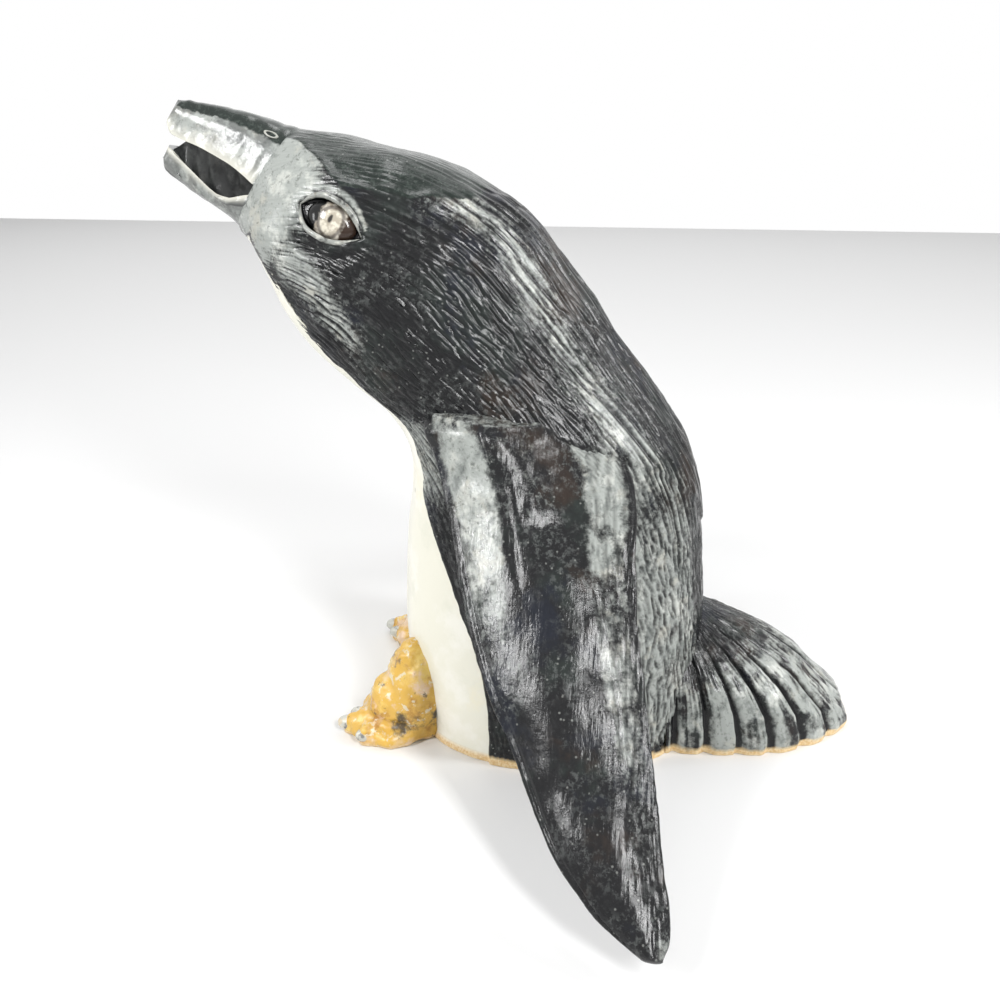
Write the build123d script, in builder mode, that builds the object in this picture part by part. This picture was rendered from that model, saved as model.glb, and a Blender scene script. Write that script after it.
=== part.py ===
from build123d import *
import os
from math import atan, copysign, cos, degrees, hypot, pi, sin

# A hand-built stoneware penguin, in millimetres. It stands on the plane Z = 0 and faces -Y; X = 0 is its
# plane of symmetry and +X its left side. The origin is the middle of its outline on the plane it rests on.
# Each piece is one piece of clay, cut by its neighbour's form so that the two meet face to face. The
# surfaces are long narrow planes, as a knife and a comb leave them on the clay.

# Driving dimensions of the torso
body_depth = 136.0
body_width = 128.0
body_setback = 16.0
neck_height = 168.5
wall = 6.0

# Driving dimensions of the head, measured from the middle of the neck joint
head_reach = 100.0
head_rise = 81.0
head_width = 98.0

# Driving dimensions of the bill
bill_length = 48.5
bill_width = 31.0
bill_wall = 2.0
mouth_depth = 6.0

# Driving dimensions of the eyes, with their turns in degrees
eye_length = 26.0
eye_opening = 12.0
eyeball_radius = 8.0
eyeball_height = 5.0
socket_depth = 3.0
lid_radius = 1.5
eye_turn = 16.0
eye_lift = 9.0
eye_slope = 25.0

# Driving dimensions of the flippers
flipper_spread = 123.5
flipper_drop = 137.0
flipper_chord = 78.0
flipper_thickness = 12.0
flipper_edge = 2.2

# Driving dimensions of the tail fan
tail_length = 89.5
tail_width = 92.0
tail_height = 62.0
tail_rim = 6.0
groove_depth = 2.4
groove_width = 3.2

# Driving dimensions of the feet
leg_radius = 15.0
leg_height = 47.0
toe_length = 30.0
toe_width = 13.0
toe_height = 22.0
claw_length = 6.0

# How far a cutting form runs past what it cuts
overrun = 10.0

# Sections of the skin, from the foot rim to the neck joint. Each row holds the back point (Y, Z), the
# front point (Y, Z), the width and the fullness: Y in shares of body_depth from the torso's middle, Z in
# shares of neck_height, width in shares of body_width, fullness 0 for an egg and 1 for a rounded square.
torso_shares = [
    (0.471, 0.000, -0.463, 0.000, 1.000, 1.00),
    (0.484, 0.130, -0.490, 0.125, 1.000, 1.00),
    (0.493, 0.297, -0.507, 0.285, 0.990, 0.90),
    (0.471, 0.564, -0.496, 0.522, 0.945, 0.70),
    (0.419, 0.736, -0.478, 0.653, 0.900, 0.50),
    (0.331, 0.866, -0.485, 0.748, 0.835, 0.25),
    (0.213, 1.000, -0.551, 0.837, 0.770, 0.00),
]

# Sections of the head, from above the neck joint to the root of the bill: forward in shares of
# head_reach, up in shares of head_rise, width in shares of head_width.
head_shares = [
    (-0.320, 0.497, 0.670, -0.028, 0.950),
    (-0.110, 0.818, 0.830, 0.145, 0.900),
    (0.100, 0.997, 0.940, 0.336, 0.850),
    (0.330, 1.120, 1.005, 0.509, 0.755),
    (0.560, 1.176, 1.055, 0.645, 0.650),
    (0.710, 1.213, 1.090, 0.700, 0.510),
    (0.850, 1.244, 1.125, 0.756, 0.337),
]

# How many planes go round the skin and round the hollow, how far the widest part of an egg lies forward,
# and how much a full section bulges at its corners
skin_planes = 24
hollow_planes = 10
belly_share = 0.12
corner_share = 0.18


def torso_station(row):
    """Back point, front point, half width and fullness of one section of the torso."""
    back_y, back_z, front_y, front_z, width, fullness = row
    back = Vector(0, body_setback + back_y * body_depth, back_z * neck_height)
    front = Vector(0, body_setback + front_y * body_depth, front_z * neck_height)
    return back, front, width * body_width / 2, fullness


torso_stations = [torso_station(row) for row in torso_shares]
neck_back, neck_front, neck_half_width, _ = torso_stations[-1]
neck_middle = (neck_back + neck_front) / 2
neck_half_depth = (neck_back - neck_front).length / 2


def head_station(row):
    """Back point, front point, half width and fullness of one section of the head."""
    back_y, back_z, front_y, front_z, width = row
    back = neck_middle + Vector(0, -back_y * head_reach, back_z * head_rise)
    front = neck_middle + Vector(0, -front_y * head_reach, front_z * head_rise)
    return back, front, width * head_width / 2, 0


head_stations = [head_station(row) for row in head_shares]


def side_plane(upper, lower):
    """The plane through two points of the side view, with its own Y axis from lower to upper."""
    rise = (upper - lower).normalized()
    return Plane(origin=(upper + lower) / 2, x_dir=(1, 0, 0), z_dir=(0, -rise.Z, rise.Y))


def swell(value, power):
    """A sine or cosine raised to a power, with its sign kept: below 1 it makes a section squarer."""
    return copysign(abs(value) ** power, value)


def egg_points(half_width, half_depth, fullness, count):
    """Corners of a section that lies between an egg, widest in front of its middle, and a rounded square."""
    power = 1 - corner_share * fullness
    forward = belly_share * (1 - fullness)
    angles = [2 * pi * step / count for step in range(count)]
    across = [-half_width * swell(sin(angle), power) for angle in angles]
    backward = [half_depth * (swell(cos(angle), power) - forward * sin(angle) ** 2) for angle in angles]
    return list(zip(across, backward))


def arch_points(half_width, height, count, power=1):
    """Corners of an arch over the local X axis, from its right foot to its left foot."""
    angles = [pi * step / count for step in range(count + 1)]
    return [(half_width * swell(cos(angle), power), height * swell(sin(angle), power)) for angle in angles]


def with_middles(stations):
    """The stations with one more between each pair, on a fair curve through their four neighbours."""
    finer = [stations[0]]
    for index in range(1, len(stations)):
        before = stations[max(index - 2, 0)]
        after = stations[min(index + 1, len(stations) - 1)]
        four = zip(before, stations[index - 1], stations[index], after)
        finer += [tuple(((b + c) * 9 - a - d) / 16 for a, b, c, d in four), stations[index]]
    return finer


# The outer form of torso, neck and head in one skin. The pieces of the wall are cut from it.
with BuildPart() as skin_form:
    for back, front, half_width, fullness in with_middles(torso_stations + head_stations):
        section_corners = egg_points(half_width, (back - front).length / 2, fullness, skin_planes)
        with BuildSketch(side_plane(back, front)):
            with BuildLine():
                Polyline(*section_corners, close=True)
            make_face()
    loft(ruled=True)


def taper_between(first, last, run):
    """The slope in degrees that takes a half width from first to last over a run."""
    return degrees(atan((first - last) / run))


# The hollow inside is a tapered room in the torso, open through the foot, and a second one in the neck and
# head that leans with them. Both stay at least one wall inside the skin.
room_top_share = 0.70
room_width_share = 0.87
rim_back, rim_front, rim_half_width, rim_fullness = torso_stations[0]
room_start = (rim_back + rim_front) / 2 - Vector(0, 0, overrun)
room_rise = room_top_share * neck_height
room_half_width = rim_half_width - wall
room_half_depth = (rim_back - rim_front).length / 2 - wall
room_corners = egg_points(room_half_width, room_half_depth, rim_fullness, hollow_planes)
room_top_half_width = room_width_share * rim_half_width - wall

attic_back_share = 0.20
attic_width_share = 0.84
attic_depth_share = 0.80
attic_end_index = 3
attic_back, attic_front, attic_half_width, _ = head_stations[attic_end_index]
attic_start = (torso_stations[-2][0] + torso_stations[-2][1]) / 2
attic_run = (attic_back + attic_front) / 2 - attic_start
attic_foot = attic_start - attic_run * attic_back_share
attic_start_half_width = attic_width_share * neck_half_width
attic_corners = egg_points(attic_start_half_width, attic_depth_share * neck_half_depth, 0, hollow_planes)
attic_taper = taper_between(attic_start_half_width, attic_half_width - wall, attic_run.length)

with BuildPart() as hollow_form:
    with BuildSketch(Plane(origin=room_start, z_dir=(0, 0, 1))):
        with BuildLine():
            Polyline(*room_corners, close=True)
        make_face()
    extrude(amount=overrun + room_rise, taper=taper_between(room_half_width, room_top_half_width, room_rise))
    with BuildSketch(Plane(origin=attic_foot, x_dir=(-1, 0, 0), z_dir=attic_run)):
        with BuildLine():
            Polyline(*attic_corners, close=True)
        make_face()
    extrude(amount=attic_run.length * (1 + attic_back_share), taper=attic_taper)

# The white front of the bird lies before this line of the side view: Y and Z of points from the foot rim
# to the shoulder in torso shares, then from the neck to the throat in head shares.
breast_edge_shares = [
    (-0.170, 0.000),
    (-0.184, 0.200),
    (-0.228, 0.338),
    (-0.330, 0.546),
    (-0.390, 0.676),
    (-0.410, 0.772),
]
throat_edge_shares = [
    (0.390, -0.133),
    (0.590, 0.028),
    (0.770, 0.207),
    (0.900, 0.349),
    (1.030, 0.485),
]
with BuildPart() as front_zone:
    with BuildSketch(Plane.YZ):
        with BuildLine():
            low_points = [(body_setback + y * body_depth, z * neck_height) for y, z in breast_edge_shares]
            high_points = [
                (neck_middle.Y - y * head_reach, neck_middle.Z + z * head_rise) for y, z in throat_edge_shares
            ]
            edge_line = Polyline(*low_points, *high_points)
            far_front = low_points[0][0] - body_depth - head_reach
            Polyline(
                edge_line @ 1,
                (far_front, high_points[-1][1]),
                (far_front, -overrun),
                (low_points[0][0], -overrun),
                edge_line @ 0,
            )
        make_face()
    extrude(amount=body_width, both=True)

# The joint where the head is luted on
neck_plane = side_plane(neck_back, neck_front)

# Torso wall, black
with BuildPart() as body_shell:
    add(skin_form.part)
    add(hollow_form.part, mode=Mode.SUBTRACT)
    add(front_zone.part, mode=Mode.SUBTRACT)
    split(bisect_by=neck_plane, keep=Keep.BOTTOM)

# White front wall from the foot rim to the throat
with BuildPart() as breast_panel:
    add(skin_form.part)
    add(hollow_form.part, mode=Mode.SUBTRACT)
    add(front_zone.part, mode=Mode.INTERSECT)

# Place of the left eye on the side of the head, and the plane that lies on the skin there
eye_station_index = 3
eye_down_share = 0.440
eye_out_share = 0.975
eye_back, eye_front, eye_half_width, *_ = head_stations[eye_station_index]
eye_place = eye_back + (eye_front - eye_back) * eye_down_share + Vector(eye_out_share * eye_half_width, 0, 0)
eye_section = side_plane(eye_back, eye_front)
middle_of_all = (0, 0, 0)
gaze = Vector(1, 0, 0).rotate(Axis(middle_of_all, eye_section.y_dir), -eye_turn)
gaze = gaze.rotate(Axis(middle_of_all, eye_section.z_dir), eye_lift)
eye_plane = Plane(origin=eye_place, x_dir=(-eye_section.z_dir).rotate(Axis.X, eye_slope), z_dir=gaze)
eye_corner_sink = eye_length**2 / (8 * eye_half_width)

# The almond socket, cut into the wall of the head
lid_planes = 6
lid_steps = [2 * step / lid_planes - 1 for step in range(lid_planes + 1)]
with BuildPart() as left_socket:
    with BuildSketch(eye_plane.offset(-socket_depth)):
        with BuildLine():
            upper_edge = [(step * eye_length / 2, (1 - step**2) * eye_opening / 2) for step in lid_steps]
            lower_edge = [(x, -y) for x, y in upper_edge[-2:0:-1]]
            Polyline(*upper_edge, *lower_edge, close=True)
        make_face()
    extrude(amount=socket_depth + overrun)

# Eyeball, a dome on the floor of the socket: rings by height share and radius share
eye_planes = 12
eyeball_shares = [(0.00, 1.00), (0.50, 0.88), (0.85, 0.55), (1.00, 0.20)]
with BuildPart() as left_eye:
    for (height, radius), (next_height, next_radius) in zip(eyeball_shares, eyeball_shares[1:]):
        with BuildSketch(eye_plane.offset(height * eyeball_height - socket_depth)):
            RegularPolygon(radius * eyeball_radius, eye_planes, major_radius=False)
        rise = (next_height - height) * eyeball_height
        extrude(amount=rise, taper=taper_between(radius * eyeball_radius, next_radius * eyeball_radius, rise))
    add(left_socket.part, mode=Mode.INTERSECT)

with BuildPart() as right_eye:
    mirror(left_eye.part, about=Plane.YZ)

# Head and neck hood, with the two sockets
with BuildPart() as head_shell:
    add(skin_form.part)
    add(hollow_form.part, mode=Mode.SUBTRACT)
    add(front_zone.part, mode=Mode.SUBTRACT)
    split(bisect_by=neck_plane, keep=Keep.TOP)
    add(left_socket.part, mode=Mode.SUBTRACT)
    mirror(left_socket.part, about=Plane.YZ, mode=Mode.SUBTRACT)

# Eyelids: coils of clay bent over the eye, their ends lower than their middle as the head curves away
coil_planes = 5
lid_rise = (eye_opening + lid_radius) / 2


def lid_coil(rise):
    """One coil from corner to corner of the eye, rising to one side of it."""
    bends = []
    for step in lid_steps:
        sink = step**2 * eye_corner_sink
        bends.append(eye_plane.from_local_coords((step * eye_length / 2, (1 - step**2) * rise, -sink)))
    with BuildPart() as coil:
        with BuildLine() as path:
            Polyline(*bends)
        with BuildSketch(Plane(origin=bends[0], z_dir=path.line % 0)):
            RegularPolygon(lid_radius, coil_planes)
        sweep(transition=Transition.RIGHT)
    return coil.part


with BuildPart() as left_upper_lid:
    add(lid_coil(lid_rise))
    add(head_shell.part, mode=Mode.SUBTRACT)
    add(left_eye.part, mode=Mode.SUBTRACT)

with BuildPart() as lower_coil_trim:
    add(lid_coil(-lid_rise))
    add(left_upper_lid.part, mode=Mode.SUBTRACT)
    add(head_shell.part, mode=Mode.SUBTRACT)
    add(left_eye.part, mode=Mode.SUBTRACT)

with BuildPart() as left_lower_lid:
    add(lower_coil_trim.solids().sort_by(SortBy.VOLUME)[-1])

with BuildPart() as right_upper_lid:
    mirror(left_upper_lid.part, about=Plane.YZ)

with BuildPart() as right_lower_lid:
    mirror(left_lower_lid.part, about=Plane.YZ)

# Root of the bill: the front face of the head
root_top, root_bottom, *_ = head_stations[-1]
root_height = (root_top - root_bottom).length
root_middle = (root_top + root_bottom) / 2
bill_up = (root_top - root_bottom).normalized()
bill_out = Vector(0, -bill_up.Z, bill_up.Y)

# The two halves of the bill. Side views as (out, up): out in shares of bill_length, up in shares of the
# root's height. Plans as (out, half width), half width in shares of bill_width.
bill_planes = 6
bill_power = 1.2
bill_bar_share = 3.0
upper_depth_share = 0.545
lower_depth_share = 0.280
trough_length_share = 0.800
upper_side_shares = [
    (0.000, 0.500),
    (0.300, 0.385),
    (0.640, 0.255),
    (0.880, 0.145),
    (1.000, 0.040),
    (0.855, -0.165),
    (0.560, -0.095),
    (0.240, -0.045),
    (0.000, -0.045),
]
lower_side_shares = [
    (0.000, -0.285),
    (0.260, -0.325),
    (0.600, -0.300),
    (0.920, -0.285),
    (0.780, -0.520),
    (0.540, -0.495),
    (0.270, -0.490),
    (0.000, -0.500),
]
bill_plan_shares = [(0.000, 0.500), (0.280, 0.370), (0.620, 0.260), (0.860, 0.190), (1.000, 0.130)]


def bill_point(out, up):
    """A point of the side view of the bill from its out and up shares."""
    return root_middle + bill_out * (out * bill_length) + bill_up * (up * root_height)


def bill_plan(inset):
    """Corners of the bill seen from above, out to the left, narrower on each side by an inset."""
    left_side = [(-out * bill_length, half * bill_width - inset) for out, half in bill_plan_shares]
    return [*left_side, *[(x, -y) for x, y in reversed(left_side)]]


def bill_half(side_shares, ridge_start, ridge_end, outward, ridge_height):
    """One half of the bill: a ridged bar along its outer edge, narrowed by its side view and its plan."""
    along = ridge_end - ridge_start
    ridge_up = (outward - along * (outward.dot(along) / along.dot(along))).normalized()
    with BuildPart() as half:
        ridge_root = ridge_start - along - ridge_up * ridge_height
        with BuildSketch(Plane(origin=ridge_root, x_dir=ridge_up.cross(along), z_dir=along)):
            with BuildLine():
                Polyline(*arch_points(bill_width / 2, ridge_height, bill_planes, bill_power), close=True)
            make_face()
        extrude(amount=bill_bar_share * bill_length)
        with BuildSketch(Plane.YZ):
            with BuildLine():
                outline = [bill_point(out, up) for out, up in side_shares]
                Polyline(*[(point.Y, point.Z) for point in outline], close=True)
            make_face()
        extrude(amount=bill_width, both=True, mode=Mode.INTERSECT)
        with BuildSketch(Plane(origin=root_middle, x_dir=-bill_out, z_dir=bill_up)):
            with BuildLine():
                Polyline(*bill_plan(0), close=True)
            make_face()
        extrude(amount=root_height, both=True, mode=Mode.INTERSECT)
    return half.part


upper_ridge = (bill_point(0, 0.500), bill_point(0.880, 0.145))
with BuildPart() as upper_bill:
    add(bill_half(upper_side_shares, *upper_ridge, bill_up, upper_depth_share * root_height))

# The floor of the mouth, a trough in the lower half
mouth_place = bill_point(*lower_side_shares[0])
with BuildPart() as mouth_trough:
    with BuildSketch(Plane(origin=mouth_place, x_dir=(1, 0, 0), z_dir=bill_out)):
        with BuildLine():
            trough_half_width = bill_width / 2 - bill_wall
            Polyline((trough_half_width, 0), (-trough_half_width, 0), (0, -mouth_depth), close=True)
        make_face()
    extrude(amount=trough_length_share * bill_length)
    with BuildSketch(Plane(origin=mouth_place, x_dir=-bill_out, z_dir=-bill_up)):
        with BuildLine():
            Polyline(*bill_plan(bill_wall), close=True)
        make_face()
    extrude(amount=mouth_depth, mode=Mode.INTERSECT)

lower_ridge = (bill_point(0, -0.500), bill_point(0.780, -0.520))
with BuildPart() as lower_bill:
    add(bill_half(lower_side_shares, *lower_ridge, -bill_up, lower_depth_share * root_height))
    add(mouth_trough.part, mode=Mode.SUBTRACT)

# Flippers: convex slabs that stand away from the body. Each row: out and down along the spine in shares
# of flipper_spread and flipper_drop, the front and rear edges in shares of flipper_chord, thickness share.
flipper_shares = [
    (-0.113, -0.095, -0.500, 0.300, 1.00),
    (0.000, 0.000, -0.500, 0.330, 1.00),
    (0.113, 0.168, -0.391, 0.545, 0.90),
    (0.275, 0.365, -0.276, 0.571, 0.80),
    (0.453, 0.547, -0.135, 0.628, 0.72),
    (0.648, 0.730, 0.083, 0.692, 0.64),
    (0.785, 0.839, 0.224, 0.727, 0.55),
    (0.891, 0.920, 0.385, 0.760, 0.45),
    (0.955, 0.971, 0.526, 0.769, 0.35),
    (1.000, 1.000, 0.660, 0.744, 0.25),
]
shoulder_out_share = 0.781
shoulder_height_share = 0.890
shoulder_middle_share = -0.066
outer_bulge_share = 0.70
inner_bulge_share = 0.25
outer_planes = 5
inner_planes = 2
shoulder = Vector(
    shoulder_out_share * body_width / 2,
    body_setback + shoulder_middle_share * body_depth,
    shoulder_height_share * neck_height,
)


def bulge_points(start, end, base, bulge, count):
    """Corners of a shallow bulge from one edge of the slab to the other."""
    steps = [step / count for step in range(count + 1)]
    return [(start + (end - start) * step, base + bulge * sin(pi * step)) for step in steps]


spine = [shoulder + Vector(out * flipper_spread, 0, -down * flipper_drop) for out, down, *_ in flipper_shares]
with BuildPart() as left_flipper:
    for index, (out, down, front, rear, thick) in enumerate(flipper_shares):
        along = (spine[min(index + 1, len(spine) - 1)] - spine[max(index - 1, 0)]).normalized()
        front_edge = front * flipper_chord
        rear_edge = rear * flipper_chord
        thickness = thick * flipper_thickness
        half_edge = min(flipper_edge, thickness) / 2
        outer_bulge = outer_bulge_share * thickness
        inner_bulge = inner_bulge_share * thickness
        outer_side = bulge_points(front_edge, rear_edge, half_edge, outer_bulge, outer_planes)
        inner_side = bulge_points(rear_edge, front_edge, -half_edge, -inner_bulge, inner_planes)
        with BuildSketch(Plane(origin=spine[index], x_dir=(0, 1, 0), z_dir=along)):
            with BuildLine():
                Polyline(*outer_side, *inner_side, close=True)
            make_face()
    loft(ruled=True)
    split(bisect_by=Plane.XY.offset(shoulder.Z), keep=Keep.BOTTOM)
    add(skin_form.part, mode=Mode.SUBTRACT)

with BuildPart() as right_flipper:
    mirror(left_flipper.part, about=Plane.YZ)

# Tail fan: a low vault on the ground behind the body. Each row: the place along tail_length from inside
# the body to the tip, the half width in shares of tail_width, the height in shares of tail_height.
tail_shares = [
    (0.000, 0.500, 1.000),
    (0.425, 0.467, 0.774),
    (0.660, 0.410, 0.575),
    (0.894, 0.261, 0.258),
    (1.000, 0.130, 0.112),
]
tail_start_share = 0.340
tail_root = body_setback + tail_start_share * body_depth
vault_planes = 8
vault_power = 1.2
groove_shares = [0.12, 0.28, 0.44, 0.60, 0.76, 0.90]
groove_start_share = 0.40
groove_bends = 3


def vault_points(half_width, height, rim):
    """Corners of one section of the fan: flat foot, upright rim and a vault over it."""
    vault = [(x, rim + z) for x, z in arch_points(half_width, height - rim, vault_planes, vault_power)]
    return [(half_width, 0), *vault, (-half_width, 0)]


def tail_section(along):
    """The upright plane across the fan at a share of its length."""
    return Plane(origin=(0, tail_root + along * tail_length, 0), x_dir=(-1, 0, 0), z_dir=(0, 1, 0))


with BuildPart() as tail_form:
    for along, half_width, height in tail_shares:
        with BuildSketch(tail_section(along)):
            with BuildLine():
                Polyline(*vault_points(half_width * tail_width, height * tail_height, tail_rim), close=True)
            make_face()
    loft(ruled=True)


def tail_size(along):
    """Half width and height of the fan at a share of its length, between the rows of its table."""
    for (start, *size), (end, *next_size) in zip(tail_shares, tail_shares[1:]):
        if along <= end:
            step = (along - start) / (end - start)
            half_width, height = [first + (last - first) * step for first, last in zip(size, next_size)]
            return half_width * tail_width, height * tail_height
    return tail_size(1)


def vault_height(x, along):
    """Height of the vault over a point of the ground under the fan."""
    half_width, height = tail_size(along)
    inside = max(0, 1 - (abs(x) / half_width) ** (2 / vault_power))
    return tail_rim + (height - tail_rim) * inside ** (vault_power / 2)


# Grooves between the tail feathers run from the fan's root to its rim, one down the middle and the rest
# in pairs. Each is cut by an upright blade whose lower edge follows the vault, one groove depth down.
rim_places = [(0, 1)]
for along in groove_shares:
    half_width, height = tail_size(along)
    rim_places += [(half_width, along), (-half_width, along)]
with BuildPart() as groove_blades:
    for rim_x, rim_along in rim_places:
        reach = hypot(rim_x, rim_along * tail_length)
        heading = Vector(rim_x, rim_along * tail_length, 0).normalized()
        floor = []
        for step in range(groove_bends + 1):
            share = groove_start_share + (1 - groove_start_share) * step / groove_bends
            share = min(share, 1 - groove_depth / reach)
            floor.append((share * reach, vault_height(share * rim_x, share * rim_along) - groove_depth))
        with BuildSketch(Plane(origin=(0, tail_root, 0), x_dir=heading, z_dir=(heading.Y, -heading.X, 0))):
            with BuildLine():
                Polyline(
                    *floor,
                    (floor[-1][0], -overrun),
                    (reach + overrun, -overrun),
                    (reach + overrun, tail_height + overrun),
                    (floor[0][0], tail_height + overrun),
                    close=True,
                )
            make_face()
        extrude(amount=groove_width / 2, both=True)

with BuildPart() as tail_fan:
    add(tail_form.part)
    add(groove_blades.part, mode=Mode.SUBTRACT)
    add(skin_form.part, mode=Mode.SUBTRACT)

# Feet: a domed leg and three toes that fan out from it over the ground. The leg's rings are given by
# height and radius share, each toe by its turn outward in degrees and its length share.
leg_out_share = 0.665
leg_forward_share = -0.445
leg_place = Vector(leg_out_share * body_width / 2, body_setback + leg_forward_share * body_depth, 0)
leg_planes = 12
leg_ring_shares = [(0.00, 1.00), (0.45, 0.98), (0.75, 0.76), (1.00, 0.30)]
toe_planes = 6
toe_rows = [(-9.0, 0.84), (7.0, 0.96), (33.0, 0.72)]

# A toe and a claw seen from the side and from above: the place along it and its height or width
toe_side_shares = [(0.00, 1.00), (0.60, 0.95), (0.85, 0.80), (1.00, 0.52)]
toe_plan_shares = [(0.00, 0.85), (0.55, 1.00), (0.85, 0.85), (1.00, 0.60)]
claw_side_shares = [(0.00, 1.00), (0.50, 0.75), (1.00, 0.30)]
claw_plan_shares = [(0.00, 1.00), (0.50, 0.75), (1.00, 0.30)]
claw_width_share = 0.48
claw_height_share = 0.34


def toe_heading(turn):
    """Direction of a toe over the ground."""
    return Vector(0, -1, 0).rotate(Axis.Z, turn)


def arched_bar(place, heading, length, width, height, side_shares, plan_shares):
    """A bar on the ground with an arched section, narrowed to its tip by its side view and by its plan."""
    with BuildPart() as bar:
        with BuildSketch(Plane(origin=place, x_dir=heading.rotate(Axis.Z, 90), z_dir=heading)):
            with BuildLine():
                Polyline(*arch_points(width / 2, height, toe_planes), close=True)
            make_face()
        extrude(amount=length)
        with BuildSketch(Plane(origin=place, x_dir=heading, z_dir=heading.rotate(Axis.Z, -90))):
            with BuildLine():
                back_line = [(along * length, rise * height) for along, rise in side_shares]
                Polyline(*back_line, (length, 0), (0, 0), close=True)
            make_face()
        extrude(amount=width, both=True, mode=Mode.INTERSECT)
        with BuildSketch(Plane(origin=place, x_dir=heading, z_dir=(0, 0, 1))):
            with BuildLine():
                one_side = [(along * length, -share * width / 2) for along, share in plan_shares]
                Polyline(*one_side, *[(x, -y) for x, y in reversed(one_side)], close=True)
            make_face()
        extrude(amount=height, mode=Mode.INTERSECT)
    return bar.part


with BuildPart() as left_foot:
    for (height, radius), (next_height, next_radius) in zip(leg_ring_shares, leg_ring_shares[1:]):
        with BuildSketch(Plane(leg_place).offset(height * leg_height)):
            RegularPolygon(radius * leg_radius, leg_planes, major_radius=False)
        rise = (next_height - height) * leg_height
        extrude(amount=rise, taper=taper_between(radius * leg_radius, next_radius * leg_radius, rise))
    for turn, length_share in toe_rows:
        reach = length_share * toe_length
        heading = toe_heading(turn)
        add(arched_bar(leg_place, heading, reach, toe_width, toe_height, toe_side_shares, toe_plan_shares))
    add(skin_form.part, mode=Mode.SUBTRACT)

with BuildPart() as right_foot:
    mirror(left_foot.part, about=Plane.YZ)

# Claws: three separate points, each seated on the blunt end of its toe
claw_width = claw_width_share * toe_width
claw_height = claw_height_share * toe_height
with BuildPart() as left_claws:
    for turn, length_share in toe_rows:
        heading = toe_heading(turn)
        seat = leg_place + heading * (length_share * toe_length)
        claw_shares = (claw_side_shares, claw_plan_shares)
        add(arched_bar(seat, heading, claw_length, claw_width, claw_height, *claw_shares))
    add(left_foot.part, mode=Mode.SUBTRACT)

with BuildPart() as right_claws:
    mirror(left_claws.part, about=Plane.YZ)

pieces = {
    "body_shell": body_shell,
    "breast_panel": breast_panel,
    "head_shell": head_shell,
    "upper_bill": upper_bill,
    "lower_bill": lower_bill,
    "left_eye": left_eye,
    "right_eye": right_eye,
    "left_upper_lid": left_upper_lid,
    "left_lower_lid": left_lower_lid,
    "right_upper_lid": right_upper_lid,
    "right_lower_lid": right_lower_lid,
    "left_flipper": left_flipper,
    "right_flipper": right_flipper,
    "tail_fan": tail_fan,
    "left_foot": left_foot,
    "right_foot": right_foot,
    "left_claws": left_claws,
    "right_claws": right_claws,
}

os.makedirs("parts", exist_ok=True)
for name, piece in pieces.items():
    piece.part.label = name
    export_step(piece.part, f"parts/{name}.step")
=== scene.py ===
# %% [markdown]
# The penguin is one hollow piece of hand-built stoneware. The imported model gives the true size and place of
# every piece of clay, with long flat facets. Here each piece is modelled again, smooth and combed, in the
# same place, and takes over from its facetted twin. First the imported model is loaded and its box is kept.

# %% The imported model
import math

import bmesh
import bpy
import numpy as np
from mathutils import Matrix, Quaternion, Vector, kdtree


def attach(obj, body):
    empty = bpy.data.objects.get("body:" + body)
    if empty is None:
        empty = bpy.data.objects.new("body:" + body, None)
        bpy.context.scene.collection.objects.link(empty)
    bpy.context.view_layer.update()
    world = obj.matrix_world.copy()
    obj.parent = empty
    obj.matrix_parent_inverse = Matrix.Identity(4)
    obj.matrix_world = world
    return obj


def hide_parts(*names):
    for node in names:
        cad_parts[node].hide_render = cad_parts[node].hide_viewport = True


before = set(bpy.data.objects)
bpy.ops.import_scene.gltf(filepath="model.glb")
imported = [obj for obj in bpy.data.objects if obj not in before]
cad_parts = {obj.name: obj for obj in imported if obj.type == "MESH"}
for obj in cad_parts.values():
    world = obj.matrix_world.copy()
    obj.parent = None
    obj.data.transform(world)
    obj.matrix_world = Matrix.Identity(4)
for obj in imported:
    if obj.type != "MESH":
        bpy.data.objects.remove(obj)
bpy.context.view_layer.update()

mm = 0.001

# %% [markdown]
# The camera stands where the photographer stood: level with the crown, looking down on the bird's left side
# from a little behind. The lens is as wide as a telephone's, which is why the near flipper looks so large.

# %% Camera
camera_place = Vector((0.41703, 0.04628, 0.26318))
camera_look = Vector((-0.922, -0.124, -0.3665))
lens_width = 36.0


def new_object(name, data):
    """Hangs a camera, a lamp or a mesh in the scene as an object."""
    thing = bpy.data.objects.new(name, data)
    bpy.context.scene.collection.objects.link(thing)
    return thing


def turn_to(thing, direction):
    """Turns a camera or a lamp so that it looks along a direction."""
    thing.rotation_euler = direction.to_track_quat("-Z", "Y").to_euler()


eye_of_camera = bpy.data.cameras.new("camera")
eye_of_camera.sensor_width = lens_width
eye_of_camera.lens = lens_width
eye_of_camera.clip_start = 1 * mm
camera = new_object("camera", eye_of_camera)
camera.location = camera_place
turn_to(camera, camera_look)
bpy.context.scene.camera = camera
print("camera", round(camera_place.length / mm), "mm from the foot of the bird")

# %% [markdown]
# Glaze is a mirror over colour, so it shows its lamps. Five narrow soft boxes stand round the bird, and each
# draws one pale streak along the neck, the bill or an edge of the flippers. A sixth, large and weak for its
# size, hangs over the table behind the bird and keeps it pale.

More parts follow.
